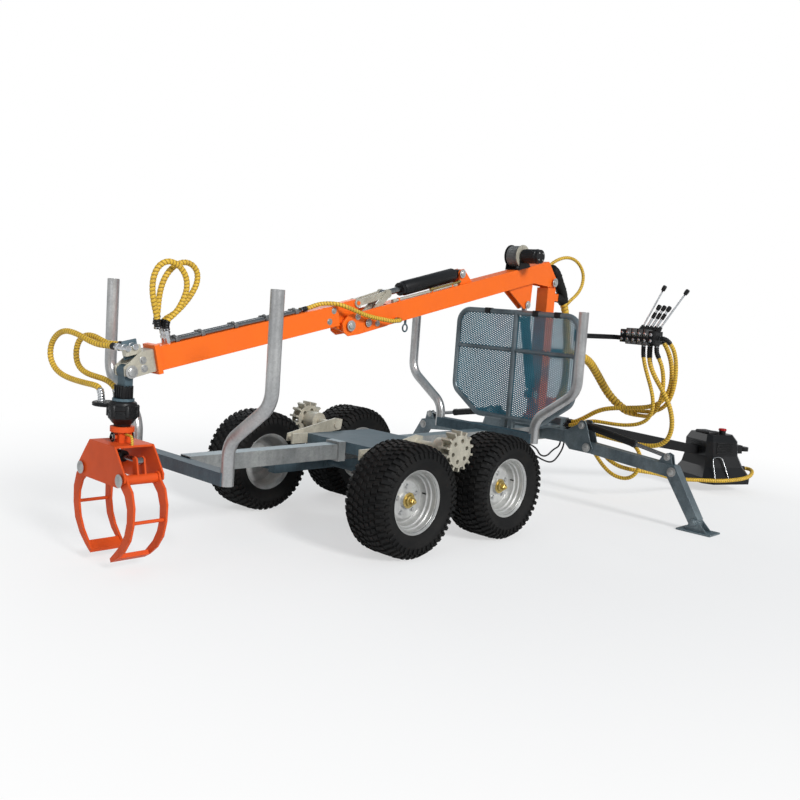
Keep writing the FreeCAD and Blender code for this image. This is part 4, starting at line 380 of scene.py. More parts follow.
TYRE = rubber("tyre_rubber", (0.0055, 0.0055, 0.0055), (0.020, 0.018, 0.016))
HOSE_RUBBER = rubber("hose_rubber", (0.006, 0.006, 0.006), (0.014, 0.014, 0.014), (0.45, 0.65))
# YELLOW's third colour is the painted shade between the sleeve's turns.
YELLOW = sleeve_plastic("yellow_sleeve", (0.74, 0.47, 0.045), (0.52, 0.31, 0.035), (0.16, 0.085, 0.012))
RED = painted("red_cap", (0.45, 0.008, 0.01), (0.35, 0.008, 0.01))

SLOT_PAINT = {
    "galvanised": ZINC_BLUE, "cream_zinc": CREAM, "orange_paint": ORANGE, "black_paint": BLACK,
    "grey_iron": CREAM, "piston": STEEL_PIPE, "tyre": TYRE, "rim": ZINC_RIM, "hose": YELLOW,
    "black_plastic": BLACK_PLASTIC,
}
NODE_PAINT = {
    "rear_stakes": ZINC, "front_stakes": ZINC, "rear_extension_beam": ZINC_SPINE, "spine_beam": ZINC_SPINE,
    "grapple_frame": ORANGE_DULL, "jaw_left": ORANGE_DULL, "jaw_right": ORANGE_DULL, "winch_drum": BLACK,
    "extension": CREAM, "hanger": ZINC_BLUE, "lift_rod": CHROME, "valve_stand": BLACK,
    "leg_left": ZINC_GREY, "leg_right": ZINC_GREY, "crane_base": ZINC_GREY, "headboard_frame": ZINC_GREY,
    "power_unit": BLACK_GLOSS, "stick_barrel": BLACK, "grapple_barrel": BLACK,
}
for part in frame["record"]["subparts"]:
    shown = NODES[part["node"]]
    shown.data.materials.clear()
    shown.data.materials.append(NODE_PAINT.get(part["node"], SLOT_PAINT[part["material_slot"]]))


# ---------------------------------------------------------------- mesh helpers

def make_piece(name, mesh, material, body, smooth=35):
    """A new piece of the object, made of one mesh, that rides on a body."""
    obj = bpy.data.objects.new(name, mesh)
    bpy.context.scene.collection.objects.link(obj)
    mesh.materials.append(material)
    if smooth:
        mesh.shade_smooth()
        mesh.set_sharp_from_angle(angle=math.radians(smooth))
    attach(obj, body)
    return obj


def mesh_of(name, corners, faces):
    """A mesh from corners and rings of corner numbers."""
    mesh = bpy.data.meshes.new(name)
    mesh.from_pydata([tuple(c) for c in corners], [], faces)
    mesh.validate()
    mesh.update()
    return mesh


def joined(name, parts):
    """One mesh from several (corners, faces) pairs."""
    corners, faces = [], []
    for more, rings in parts:
        base = len(corners)
        corners += [tuple(c) for c in more]
        faces += [tuple(base + i for i in ring) for ring in rings]
    return mesh_of(name, corners, faces)


def build(name, parts, material, body, smooth=35):
    """A new piece of the object from (corners, faces) parts."""
    return make_piece(name, joined(name, parts), material, body, smooth)


def basis(axis):
    """Two directions square to an axis and to each other."""
    axis = Vector(axis).normalized()
    side = axis.cross(Vector((0, 0, 1)) if abs(axis.z) < 0.9 else Vector((1, 0, 0))).normalized()
    return side, axis.cross(side)


def around(count, phase=0.0, axis="Y"):
    """Unit vectors spread evenly round the Y or the Z axis."""
    turns = [2 * math.pi * k / count + phase for k in range(count)]
    if axis == "Y":
        return [Vector((math.cos(turn), 0, math.sin(turn))) for turn in turns]
    return [Vector((math.cos(turn), math.sin(turn), 0)) for turn in turns]


def circle(a, b, sides):
    """Unit vectors round a circle in the plane of a and b."""
    turns = [2 * math.pi * k / sides for k in range(sides)]
    return [a * math.cos(turn) + b * math.sin(turn) for turn in turns]


def skin_faces(rows, sides, closed=False):
    """Faces between rows of corners, with a cap at each end unless the last row meets the first."""
    faces = []
    last = rows - 1
    for i in range(rows if closed else last):
        j = (i + 1) % rows
        for k in range(sides):
            m = (k + 1) % sides
            faces.append((i * sides + k, i * sides + m, j * sides + m, j * sides + k))
    if not closed:
        faces.append(tuple(reversed(range(sides))))
        faces.append(tuple(last * sides + k for k in range(sides)))
    return faces


def lathe(profile, origin, axis, sides=32, closed=False):
    """A turned solid: profile holds (along, radius) pairs."""
    axis = Vector(axis).normalized()
    spokes = circle(*basis(axis), sides)
    origin = Vector(origin)
    corners = [origin + axis * along + spoke * radius for along, radius in profile for spoke in spokes]
    return corners, skin_faces(len(profile), sides, closed)


def slab(low, high, bevel=0.003):
    """A box with softened edges."""
    bm = bmesh.new()
    bmesh.ops.create_cube(bm, size=1.0)
    low, high = Vector(low), Vector(high)
    for v in bm.verts:
        v.co = Vector([(low[i] + high[i]) / 2 + v.co[i] * (high[i] - low[i]) for i in range(3)])
    bmesh.ops.bevel(bm, geom=bm.edges[:], offset=bevel, segments=2, profile=0.5, affect="EDGES")
    corners = [v.co.copy() for v in bm.verts]
    faces = [tuple(v.index for v in f.verts) for f in bm.faces]
    bm.free()
    return corners, faces


def swept(points):
    """Each point of a line with two directions square to the line there, turned as little as can be."""
    last = len(points) - 1
    tangents = [(points[min(i + 1, last)] - points[max(i - 1, 0)]).normalized() for i in range(last + 1)]
    a, _ = basis(tangents[0])
    for point, tangent in zip(points, tangents):
        a = (a - tangent * a.dot(tangent)).normalized()
        yield point, a, tangent.cross(a)


def tube(points, radius, sides=12):
    """A round bar through points; radius is one number or one for each point."""
    points = [Vector(p) for p in points]
    radii = radius if hasattr(radius, "__len__") else [radius] * len(points)
    corners = [p + spoke * r for (p, a, b), r in zip(swept(points), radii) for spoke in circle(a, b, sides)]
    return corners, skin_faces(len(points), sides)


def bolt(place, axis, across=0.019, tall=0.008, washer=True):
    """A hexagon head on a washer."""
    place, axis = Vector(place), Vector(axis).normalized()
    r = across / math.sqrt(3)
    parts = [lathe([(0.0015, r), (tall - 0.0015, r), (tall, r * 0.86)], place, axis, 6)]
    if washer:
        parts.append(lathe([(0, r * 1.5), (0.0015, r * 1.5), (0.002, r * 1.4)], place, axis, 20))
    return parts


def spline_points(route, name):
    """Points along the smooth line whose control points are the route."""
    data = bpy.data.curves.new(name, "CURVE")
    data.dimensions = "3D"
    line = data.splines.new("NURBS")
    line.points.add(len(route) - 1)
    for point, place in zip(line.points, route):
        point.co = (*place, 1)
    line.order_u = 3
    line.use_endpoint_u = True
    data.resolution_u = 24
    holder = bpy.data.objects.new(name, data)
    bpy.context.scene.collection.objects.link(holder)
    bpy.context.view_layer.update()
    mesh = bpy.data.meshes.new_from_object(holder.evaluated_get(bpy.context.evaluated_depsgraph_get()))
    points = [v.co.copy() for v in mesh.vertices]
    bpy.data.objects.remove(holder)
    bpy.data.meshes.remove(mesh)
    return points


def spaced(points, step):
    """The same line with points at even steps."""
    ends = np.array([tuple(p) for p in points])
    along = np.concatenate([[0], np.cumsum(np.linalg.norm(np.diff(ends, axis=0), axis=1))])
    count = max(int(round(along[-1] / step)), 2)
    marks = np.linspace(0, along[-1], count + 1)
    return [Vector([np.interp(m, along, ends[:, i]) for i in range(3)]) for m in marks], along[-1]


# ---------------------------------------------------------------- hoses

def spiral_tube(points, radius, pitch, depth, sides):
    """A tube whose wall rises and falls along a screw line, as a spiral guard does."""
    corners, grooves = [], []
    along = 0.0
    for i, (p, a, b) in enumerate(swept(points)):
        if i:
            along += (p - points[i - 1]).length
        for k, spoke in enumerate(circle(a, b, sides)):
            phase = (along / pitch - k / sides) % 1.0
            groove = max(0.0, 1.0 - 4.0 * min(phase, 1 - phase))
            crown = 0.25 * abs(0.5 - phase) * 2
            corners.append(p + spoke * (radius - depth * max(groove, crown)))
            grooves.append(groove)
    return corners, skin_faces(len(points), sides), grooves


def make_fittings(name, points, diameter, body, ends):
    """A crimped ferrule and a nut at each end of a hose."""
    step = 0.003
    r = diameter / 2
    pieces = []
    for end, out, metal in ends:
        line = points if end == "start" else list(reversed(points))
        marks, _ = spaced(line, step)
        reach = marks[:int(out / step)]
        radii = [r * (1.0 if i % 4 == 3 else 1.14) for i in range(len(reach))]
        material, slot = (CHROME, "piston") if metal else (BLACK, "black_paint")
        stem = "%s_%s" % (name, end)
        pieces.append(build(stem + "_cuff", [tube(reach, radii, 18)], material, body, 50))
        nut = lathe([(0.0, r * 1.05), (0.001, r * 1.22), (0.009, r * 1.22), (0.01, r * 1.05)],
                    reach[0], reach[1] - reach[0], 6)
        pieces.append(build(stem + "_nut", [nut], CHROME, body))
    return pieces


def make_hose(name, body, node, route, diameter, pitch=0.017, ends=(),
              sides=16):
    """A sleeved hose; node is the CAD hose it replaces, or None where only the scene has it."""
    points = spline_points(route, name)
    even, measured = spaced(points, pitch / 6)
    corners, faces, grooves = spiral_tube(even, diameter / 2, pitch, diameter * 0.085, sides)
    shape = mesh_of(name, corners, faces)
    # The groove attribute drives the painted shade between the sleeve's turns.
    shape.attributes.new("groove", "FLOAT", "POINT").data.foreach_set("value", grooves)
    piece = make_piece(name, shape, YELLOW, body, 60)
    if node:
        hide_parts(node)
    fitted = make_fittings(name, points, diameter, body, ends)


# Each end of a hose that has a fitting: which end, its length, and whether it is bright metal.
DARK_ENDS = (("start", 0.05, False), ("end", 0.05, False))
LONG_ENDS = (("start", 0.085, False), ("end", 0.05, False))
STEEL_ENDS = (("start", 0.05, False), ("end", 0.06, True))

# Routes in metres, from the part's source.  VALVE_FIVE is in the scene alone.
BUNDLE = [(0.782, 0.0, 1.37), (0.834, 0.0, 1.37), (0.877, -0.004, 1.345), (0.899, -0.012, 1.29),
          (0.906, -0.024, 1.225), (0.905, -0.036, 1.15), (0.901, -0.048, 1.075), (0.894, -0.06, 1.0),
          (0.884, -0.07, 0.925), (0.879, -0.078, 0.855), (0.875, -0.08, 0.785), (0.867, -0.076, 0.725),
          (0.849, -0.066, 0.678), (0.817, -0.06, 0.645), (0.7723, -0.06, 0.645)]
BOOM_LOOP = [(0.749, 0.0253, 1.37), (0.749, 0.062, 1.37), (0.749, 0.085, 1.4), (0.749, 0.092, 1.45),
             (0.749, 0.092, 1.51), (0.774, 0.086, 1.57), (0.824, 0.076, 1.612), (0.889, 0.064, 1.645),
             (0.964, 0.048, 1.663), (1.039, 0.03, 1.65), (1.094, 0.014, 1.605), (1.114, 0.0, 1.545),
             (1.094, -0.01, 1.48), (1.049, -0.016, 1.425), (0.994, -0.016, 1.385), (0.944, -0.012, 1.352),
             (0.915, -0.012, 1.33)]
VALVE_BUNDLE = [(0.3773, -0.335, 1.01), (0.439, -0.335, 1.01), (0.509, -0.332, 1.008),
                (0.584, -0.328, 1.003), (0.659, -0.325, 0.992), (0.734, -0.32, 0.975),
                (0.804, -0.318, 0.945), (0.869, -0.318, 0.895), (0.929, -0.322, 0.84),
                (0.984, -0.332, 0.78), (1.029, -0.355, 0.722), (1.054, -0.4, 0.675),
                (1.061, -0.45, 0.643), (1.054, -0.5, 0.628), (1.054, -0.55, 0.628)]
VALVE_ONE = [(0.899, -0.695, 1.0977), (0.899, -0.695, 1.045), (0.902, -0.705, 0.975), (0.912, -0.74, 0.9),
             (0.934, -0.79, 0.82), (0.957, -0.835, 0.735), (0.977, -0.858, 0.65), (0.989, -0.862, 0.565),
             (0.991, -0.84, 0.49), (0.985, -0.79, 0.445), (0.971, -0.72, 0.428), (0.954, -0.64, 0.428),
             (0.937, -0.555, 0.436), (0.919, -0.47, 0.446), (0.902, -0.385, 0.456), (0.887, -0.3, 0.466),
             (0.874, -0.205, 0.474), (0.874, -0.126, 0.474)]
VALVE_TWO = [(0.884, -0.7653, 1.15), (0.884, -0.8, 1.15), (0.904, -0.826, 1.128), (0.939, -0.842, 1.085),
             (0.969, -0.848, 1.025), (0.989, -0.848, 0.955), (1.002, -0.844, 0.885),
             (1.009, -0.833, 0.815), (1.014, -0.812, 0.75), (1.024, -0.775, 0.7), (1.037, -0.725, 0.668),
             (1.049, -0.665, 0.65), (1.054, -0.605, 0.643), (1.054, -0.5503, 0.643)]
VALVE_THREE = [(0.889, -0.748, 1.0977), (0.889, -0.748, 1.06), (0.904, -0.762, 1.022),
               (0.927, -0.778, 0.97), (0.947, -0.786, 0.9), (0.959, -0.786, 0.83), (0.967, -0.776, 0.76),
               (0.975, -0.755, 0.698), (0.991, -0.718, 0.65), (1.014, -0.675, 0.625),
               (1.039, -0.64, 0.615), (1.054, -0.6, 0.613), (1.054, -0.5503, 0.613)]
VALVE_FOUR = [(0.9243, -0.72, 1.15), (0.959, -0.72, 1.15), (0.994, -0.738, 1.125), (1.014, -0.765, 1.07),
              (1.024, -0.79, 1), (1.025, -0.805, 0.925), (1.019, -0.808, 0.85), (1.009, -0.795, 0.78),
              (0.995, -0.755, 0.722), (0.979, -0.695, 0.69), (0.962, -0.625, 0.675),
              (0.945, -0.55, 0.665), (0.929, -0.475, 0.655), (0.913, -0.4, 0.64), (0.899, -0.335, 0.612),
              (0.887, -0.275, 0.57), (0.877, -0.22, 0.535), (0.874, -0.18, 0.518), (0.874, -0.126, 0.518)]
VALVE_FIVE = [(0.868, -0.665, 1.0977), (0.868, -0.665, 1.05), (0.872, -0.68, 0.98), (0.884, -0.705, 0.9),
              (0.902, -0.73, 0.82), (0.92, -0.745, 0.74), (0.932, -0.74, 0.665), (0.934, -0.71, 0.605),
              (0.928, -0.65, 0.568), (0.916, -0.57, 0.55), (0.9, -0.49, 0.546), (0.884, -0.41, 0.549),
              (0.866, -0.33, 0.55), (0.85, -0.25, 0.522), (0.842, -0.18, 0.496), (0.842, -0.126, 0.496)]
LOOP_LOW = [(1.0743, -0.0737, 0.43), (1.0561, -0.1138, 0.43), (1.064, -0.185, 0.385),
            (1.054, -0.24, 0.33), (1.054, -0.29, 0.27), (1.059, -0.345, 0.215), (1.064, -0.405, 0.175),
            (1.069, -0.47, 0.158), (1.074, -0.535, 0.165), (1.079, -0.585, 0.205), (1.084, -0.605, 0.265),
            (1.094, -0.6, 0.325), (1.114, -0.565, 0.368), (1.149, -0.505, 0.395), (1.189, -0.435, 0.41),
            (1.229, -0.365, 0.418), (1.259, -0.295, 0.422), (1.2875, -0.228, 0.424),
            (1.3091, -0.1807, 0.424)]
FEED = [(1.138, -0.1027, 0.44), (1.1198, -0.1428, 0.44), (1.124, -0.19, 0.395), (1.109, -0.245, 0.345),
        (1.101, -0.305, 0.295), (1.099, -0.37, 0.255), (1.104, -0.44, 0.23), (1.119, -0.515, 0.222),
        (1.159, -0.58, 0.218), (1.224, -0.622, 0.21), (1.304, -0.638, 0.195), (1.389, -0.636, 0.176),
        (1.474, -0.626, 0.156), (1.559, -0.614, 0.138), (1.644, -0.604, 0.122), (1.729, -0.6, 0.11),
        (1.809, -0.61, 0.102), (1.884, -0.638, 0.098), (1.951, -0.684, 0.098), (2.0126, -0.7519, 0.1),
        (2.0808, -0.7951, 0.104), (2.1555, -0.8313, 0.11), (2.2308, -0.859, 0.118),
        (2.3064, -0.8715, 0.13), (2.377, -0.8564, 0.142), (2.4507, -0.8274, 0.15),
        (2.4981, -0.7885, 0.155), (2.4947, -0.743, 0.157), (2.4512, -0.7232, 0.157)]
TIP_LOOP = [(-2.2834, -0.015, 1.0628), (-2.2925, -0.015, 1.1038), (-2.241, -0.018, 1.142),
            (-2.209, -0.02, 1.195), (-2.188, -0.022, 1.255), (-2.197, -0.024, 1.315),
            (-2.239, -0.026, 1.362), (-2.296, -0.028, 1.378), (-2.346, -0.03, 1.352),
            (-2.371, -0.03, 1.297), (-2.371, -0.028, 1.235), (-2.357, -0.026, 1.175),
            (-2.339, -0.024, 1.12), (-2.331, -0.02, 1.07)]
TIP_LOOP_TWO = [(-2.2834, 0.015, 1.0628), (-2.2925, 0.015, 1.1038), (-2.223, 0.02, 1.138),
                (-2.176, 0.024, 1.18), (-2.131, 0.028, 1.232), (-2.099, 0.03, 1.292),
                (-2.106, 0.03, 1.35), (-2.156, 0.03, 1.382), (-2.216, 0.028, 1.368),
                (-2.266, 0.024, 1.325), (-2.296, 0.02, 1.268), (-2.309, 0.018, 1.205),
                (-2.313, 0.016, 1.145), (-2.319, 0.016, 1.085)]
KNUCKLE_HOSE = [(-1.5095, -0.015, 1.1866), (-1.4668, -0.015, 1.196), (-1.399, -0.019, 1.222),
                (-1.343, -0.034, 1.232), (-1.291, -0.066, 1.232), (-1.236, -0.086, 1.216),
                (-1.176, -0.094, 1.197), (-1.111, -0.096, 1.18), (-1.046, -0.096, 1.17),
                (-0.986, -0.104, 1.163), (-0.929, -0.112, 1.156), (-0.8438, -0.112, 1.1646),
                (-0.8438, -0.0603, 1.1646)]
LEFT_ONE = [(-2.48, 0.0603, 0.9793), (-2.48, 0.112, 0.9793), (-2.503, 0.168, 0.978),
            (-2.513, 0.23, 0.985), (-2.523, 0.305, 1.005), (-2.531, 0.38, 1.02), (-2.536, 0.455, 1.022),
            (-2.539, 0.525, 1.0), (-2.541, 0.58, 0.952), (-2.541, 0.59, 0.89), (-2.539, 0.55, 0.842),
            (-2.536, 0.485, 0.815), (-2.531, 0.41, 0.803), (-2.527, 0.335, 0.798), (-2.525, 0.262, 0.796),
            (-2.523, 0.19, 0.796), (-2.521, 0.142, 0.792), (-2.521, 0.112, 0.766),
            (-2.521, 0.112, 0.7283)]
LEFT_TWO = [(-2.4438, 0.0603, 0.9873), (-2.4438, 0.112, 0.9873), (-2.465, 0.164, 0.985),
            (-2.471, 0.22, 0.995), (-2.479, 0.285, 1.012), (-2.485, 0.35, 1.01), (-2.489, 0.405, 0.982),
            (-2.491, 0.428, 0.93), (-2.491, 0.415, 0.876), (-2.489, 0.37, 0.845), (-2.485, 0.31, 0.832),
            (-2.479, 0.245, 0.826), (-2.471, 0.185, 0.822), (-2.465, 0.128, 0.808),
            (-2.461, 0.086, 0.778), (-2.461, 0.086, 0.7283)]
RING_LEFT = [(-2.476, 0.0323, 0.598), (-2.476, 0.06, 0.598), (-2.47, 0.088, 0.6), (-2.466, 0.108, 0.59),
             (-2.466, 0.108, 0.5623)]
RING_RIGHT = [(-2.476, -0.0323, 0.598), (-2.476, -0.06, 0.598), (-2.482, -0.088, 0.6),
              (-2.486, -0.108, 0.59), (-2.486, -0.108, 0.5623)]

make_hose("bundle_sleeve", "column", "hose_column", BUNDLE, 0.054, 0.026, sides=20)
make_hose("boom_loop_hose", "column", "hose_column", BOOM_LOOP, 0.024, ends=(("start", 0.04, False),))
make_hose("valve_bundle", "chassis", "hose_valves", VALVE_BUNDLE, 0.058, 0.028, sides=20)
for name, route, diameter, length, ends in (
        ("one", VALVE_ONE, 0.032, 1.398, LONG_ENDS), ("two", VALVE_TWO, 0.028, 0.781, LONG_ENDS[:1]),
        ("three", VALVE_THREE, 0.028, 0.672, LONG_ENDS[:1]), ("four", VALVE_FOUR, 0.032, 1.196, LONG_ENDS)):
    make_hose("valve_hose_" + name, "chassis", "hose_valves", route, diameter, ends=ends)
make_hose("valve_hose_five", "chassis", None, VALVE_FIVE, 0.026, ends=LONG_ENDS)
make_hose("drawbar_loop_hose", "drawbar", "hose_drawbar", LOOP_LOW, 0.028, ends=DARK_ENDS)
make_hose("drawbar_feed_hose", "drawbar", "hose_drawbar", FEED, 0.030, ends=DARK_ENDS)
make_hose("stick_loop_one", "stick", "hose_stick", TIP_LOOP, 0.028, ends=DARK_ENDS)
make_hose("stick_loop_two", "stick", "hose_stick", TIP_LOOP_TWO, 0.028, ends=DARK_ENDS)
make_hose("knuckle_hose", "stick", "hose_stick", KNUCKLE_HOSE, 0.024, ends=DARK_ENDS)
make_hose("tip_hose_one", "hanger", "hose_tip", LEFT_ONE, 0.028, ends=STEEL_ENDS)
make_hose("tip_hose_two", "hanger", "hose_tip", LEFT_TWO, 0.028, ends=STEEL_ENDS)
for name, route in (("left", RING_LEFT), ("right", RING_RIGHT)):
    make_hose("grapple_hose_" + name, "grapple", "hose_grapple", route, 0.012, pitch=0.009, sides=10)


# ---------------------------------------------------------------- tyres and hubs

def tyre_mesh(radius, width, bead, flange):
    """Carcass with moulded rings and rows of tread blocks, about the axle along Y."""
    tall = 0.0075
    crown = radius - tall
    edge = width / 2
    half = [(bead, flange - 0.006), (bead + 0.010, flange - 0.004), (bead + 0.013, flange + 0.016),
            (edge - 0.010, radius * 0.70), (edge - 0.004, radius * 0.76), (edge - 0.0015, radius * 0.80),
            (edge - 0.003, radius * 0.815), (edge - 0.0075, radius * 0.87), (edge - 0.020, radius * 0.925),
            (edge - 0.040, crown * 0.975), (edge - 0.070, crown * 0.992), (0.030, crown)]
    profile = [(-y, r) for y, r in half] + [(y, r) for y, r in reversed(half)]
    inner = [(bead - 0.004, flange - 0.012), (-bead + 0.004, flange - 0.012)]
    parts = [lathe(profile + inner, (0, 0, 0), (0, 1, 0), 96, closed=True)]
    curve = np.array(profile)
    run = np.concatenate([[0], np.cumsum(np.linalg.norm(np.diff(curve, axis=0), axis=1))])
    centre = run[-1] / 2

    def section(along):
        """Place across and radius, at a distance along the profile from its middle."""
        return [np.interp(centre + along, run, curve[:, i]) for i in (0, 1)]

    def surface(along, turn, lift):
        y, r = section(along)
        y_next, r_next = section(along + 0.002)
        slope = Vector((y_next - y, r_next - r)).normalized()
        y, r = y - slope.y * lift, r + slope.x * lift
        return Vector((r * math.sin(turn), y, r * math.cos(turn)))

    def block(low, high, start, end, skew, lift):
        """A tread block whose sides draw in towards its top."""
        foot = [(low, start), (high, start + skew), (high, end + skew), (low, end)]
        levels = []
        for level, shrink in ((-0.002, 0.0), (lift * 0.75, 0.0007), (lift, 0.0022)):
            ring = []
            for n, (t, a) in enumerate(foot):
                t += shrink if n in (0, 3) else -shrink
                a += (shrink if n in (0, 1) else -shrink) / radius
                ring.append(surface(t, a, level))
            levels.append(ring)
        faces = skin_faces(len(levels), len(foot))
        del faces[-2]  # the underside lies in the carcass
        return [c for ring in levels for c in ring], faces

    count = 46
    step = 2 * math.pi / count
    # One side's rows: inner and outer edge, then width and slip in steps, and share of the height.
    rows = ((0.020, 0.050, 0.6, 0.0, 1.0), (0.057, 0.088, 0.58, 0.45, 1.0),
            (0.094, 0.135, 0.56, 0.95, 1.0), (0.137, 0.162, 0.34, 1.0, 0.7))
    for i in range(count):
        a = i * step
        parts.append(block(-0.016, 0.014, a, a + step * 0.62, step * 0.16, tall))
        for side in (1, -1):
            shift = step * (0.5 if side > 0 else 0.38)
            for low, high, wide, slip, share in rows:
                start = a + shift + slip * step
                near, far = (low, high) if side > 0 else (-high, -low)
                lift = tall if high < 0.06 else tall + (0.003 if high < 0.1 else 0.006)
                parts.append(block(near, far, start, start + step * wide, side * step * 0.14, lift * share))
    return joined("tyre_mesh", parts)


# Half section of the pressed rim and its hub, as (along the axle, radius).
RIM = [(0.045, 0.0205), (0.045, 0.040), (0.0285, 0.0425), (0.0290, 0.066), (0.0285, 0.096),
       (0.021, 0.107), (0.012, 0.114), (0.013, 0.120), (0.024, 0.1265), (0.040, 0.1290), (0.045, 0.1290),
       (0.049, 0.1370), (0.062, 0.1385), (0.067, 0.1385), (0.071, 0.1460), (0.088, 0.1470),
       (0.094, 0.1490), (0.0995, 0.1550), (0.1045, 0.1590), (0.1075, 0.1605), (0.1080, 0.1630),
       (0.1060, 0.1650), (0.100, 0.1640), (0.097, 0.1515), (-0.097, 0.1515), (-0.100, 0.1640),
       (-0.106, 0.1650), (-0.1080, 0.1630), (-0.1045, 0.1580), (-0.094, 0.1490), (-0.088, 0.1450),
       (-0.020, 0.1440), (0.0, 0.1340), (0.002, 0.1150), (0.012, 0.100), (0.0195, 0.090),
       (0.0195, 0.0425), (-0.060, 0.0425), (-0.060, 0.0205)]


def make_wheel(corner, side, angle, shape):
    """Tyre, pressed rim, hub cap, nuts and valve of one wheel."""
    node = "tyre_" + corner
    body = BODY_OF[node]
    low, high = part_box(node)
    middle = (low + high) / 2
    out = Vector((0, side, 0))
    tyre = bpy.data.objects.new(node + "_tread", shape)
    tyre.location = middle
    tyre.rotation_euler = (0, angle, 0)
    bpy.context.scene.collection.objects.link(tyre)
    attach(tyre, body)
    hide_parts(node)
    rim = build("rim_pressing_" + corner, [lathe(RIM, middle, out, 72, True)], ZINC_RIM, body, 28)
    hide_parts("rim_" + corner)
    hub = middle + out * 0.045
    cap = lathe([(0.0, 0.040), (0.004, 0.040), (0.006, 0.029), (0.018, 0.0275), (0.020, 0.022),
                 (0.0265, 0.0215)], hub, out, 36)
    nut = lathe([(0.0265, 0.017), (0.038, 0.017), (0.040, 0.014)], hub, out, 6)
    pin = lathe([(0.038, 0.009), (0.047, 0.009), (0.049, 0.007)], hub, out, 16)
    build("hub_cap_" + corner, [cap, nut, pin], YELLOW_ZINC, body)
    heads = []
    for spoke in around(5, 0.4):
        heads += bolt(middle + out * 0.0285 + spoke * 0.07, out, 0.017, 0.009)
    build("wheel_nuts_" + corner, heads, ZINC, body)
    stem = [middle + out * 0.012 + Vector((0.128, 0, 0.02)), middle + out * 0.05 + Vector((0.120, 0, 0.02))]
    build("valve_" + corner, [tube(stem, [0.004, 0.0032], 10)], HOSE_RUBBER, body)


def make_wheels():
    low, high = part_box("tyre_front_right")
    shape = tyre_mesh((high.z - low.z) / 2 - 0.0005, high.y - low.y - 0.001, 0.098, 0.168)
    shape.materials.append(TYRE)
    shape.shade_smooth()
    shape.set_sharp_from_angle(angle=math.radians(32))
    for end, angle in (("front", 0.0), ("rear", math.pi / 2)):
        for name, side in (("left", 1), ("right", -1)):
            make_wheel("%s_%s" % (end, name), side, angle, shape)


make_wheels()


# ---------------------------------------------------------------- headboard mesh

def make_headboard_mesh():
    """Expanded metal: flat strands in long diamonds, cut to the frame's outline."""
    x = at(1250, 0, 0).x
    top = 1.249
    reach = 0.49
    corner = 0.09  # radius of the frame's upper corners
    outline = [Vector(p) for p in ((0.27, 0.545), (reach, 0.7), (reach, top), (-reach, top), (-reach, 0.7),
                                   (-0.27, 0.545))]

    def inside(y, z):
        for i, a in enumerate(outline):
            edge = outline[(i + 1) % len(outline)] - a
            if edge.x * (z - a.y) - edge.y * (y - a.x) < 0.004 * edge.length:
                return False
        for side in (1, -1):
            over = side * (y - side * (reach - corner))
            if over > 0 and z > top - corner and math.hypot(over, z - top + corner) > corner:
                return False
        return True

    wide = 0.030    # of a diamond
    tall = 0.0145
    half = 0.0034   # half a strand's width
    thin = 0.0011   # half its thickness
    parts = []
    rows = int(0.72 / tall) + 2
    for i in range(-18, 19):
        for j in range(rows * 2):
            y = i * wide + (wide / 2 if j % 2 else 0)
            z = 0.54 + j * tall / 2
            for dy in (wide / 2, -wide / 2):
                a, b = Vector((y, z)), Vector((y + dy, z + tall / 2))
                if not (inside(a.x, a.y) and inside(b.x, b.y)):
                    continue
                along = (b - a).normalized()
                flat = Vector((-along.y, along.x)) * half
                lean = (thin if dy > 0 else -thin) * 0.4
                ring = []
                for p in (a, b):
                    for face, edge in ((-thin + lean, flat), (thin + lean, flat),
                                       (thin - lean, -flat), (-thin - lean, -flat)):
                        ring.append((x + face, p.x + edge.x, p.y + edge.y))
                parts.append((ring, skin_faces(2, 4)))
    piece = build("headboard_wire", parts, MESH, "chassis", 0)
    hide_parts("headboard_mesh")


make_headboard_mesh()


# ---------------------------------------------------------------- frames of the crane and small helpers

BOOM_FRAME = Matrix.Translation(at(1578, 0, 1470)) @ Matrix.Rotation(math.radians(-13.3), 4, "Y")
KNUCKLE = BOOM_FRAME @ Vector((-1.905, 0, 0.091))
STICK_FRAME = Matrix.Translation(KNUCKLE) @ Matrix.Rotation(math.radians(-12.5), 4, "Y")
STICK_UP = STICK_FRAME.to_3x3() @ Vector(UP)
DRAWBAR_FRAME = Matrix.Translation(at(1900, 0, 0)) @ Matrix.Rotation(math.radians(-24.5), 4, "Z")


def placed(part, matrix):
    """A part with its corners moved by a matrix."""
    corners, faces = part
    return [matrix @ Vector(c) for c in corners], faces


def on_boom(reach, across, rise):
    """A point in millimetres along, across and above the boom's pivot."""
    return BOOM_FRAME @ (Vector((-reach, across, rise)) / 1000)


def on_stick(reach, across, rise):
    """A point in millimetres along, across and above the stick's knuckle pin."""
    return STICK_FRAME @ (Vector((-reach, across, rise)) / 1000)


def skin_of(obj):
    """The surface of an object, for finding what lies under a fastener."""
    return BVHTree.FromPolygons([obj.matrix_world @ v.co for v in obj.data.vertices],
                                [tuple(p.vertices) for p in obj.data.polygons])


NOT_SEATS = ("hose", "tyre", "headboard_mesh")
SKINS = {node: skin_of(obj) for node, obj in NODES.items() if not node.startswith(NOT_SEATS)}


def seat(place, axis, reach=0.05):
    """The first face that a fastener on this axis sits on, and the body that carries it."""
    axis = Vector(axis).normalized()
    best = None
    for node, skin in SKINS.items():
        spot, _, _, gap = skin.ray_cast(place + axis * reach, -axis, 3 * reach)
        if spot is not None and (best is None or gap < best[0]):
            best = (gap, spot, BODY_OF[node])
    if best is None:
        raise RuntimeError("nothing carries the fastener at %s" % (tuple(round(c, 3) for c in place),))
    return best[1], best[2]


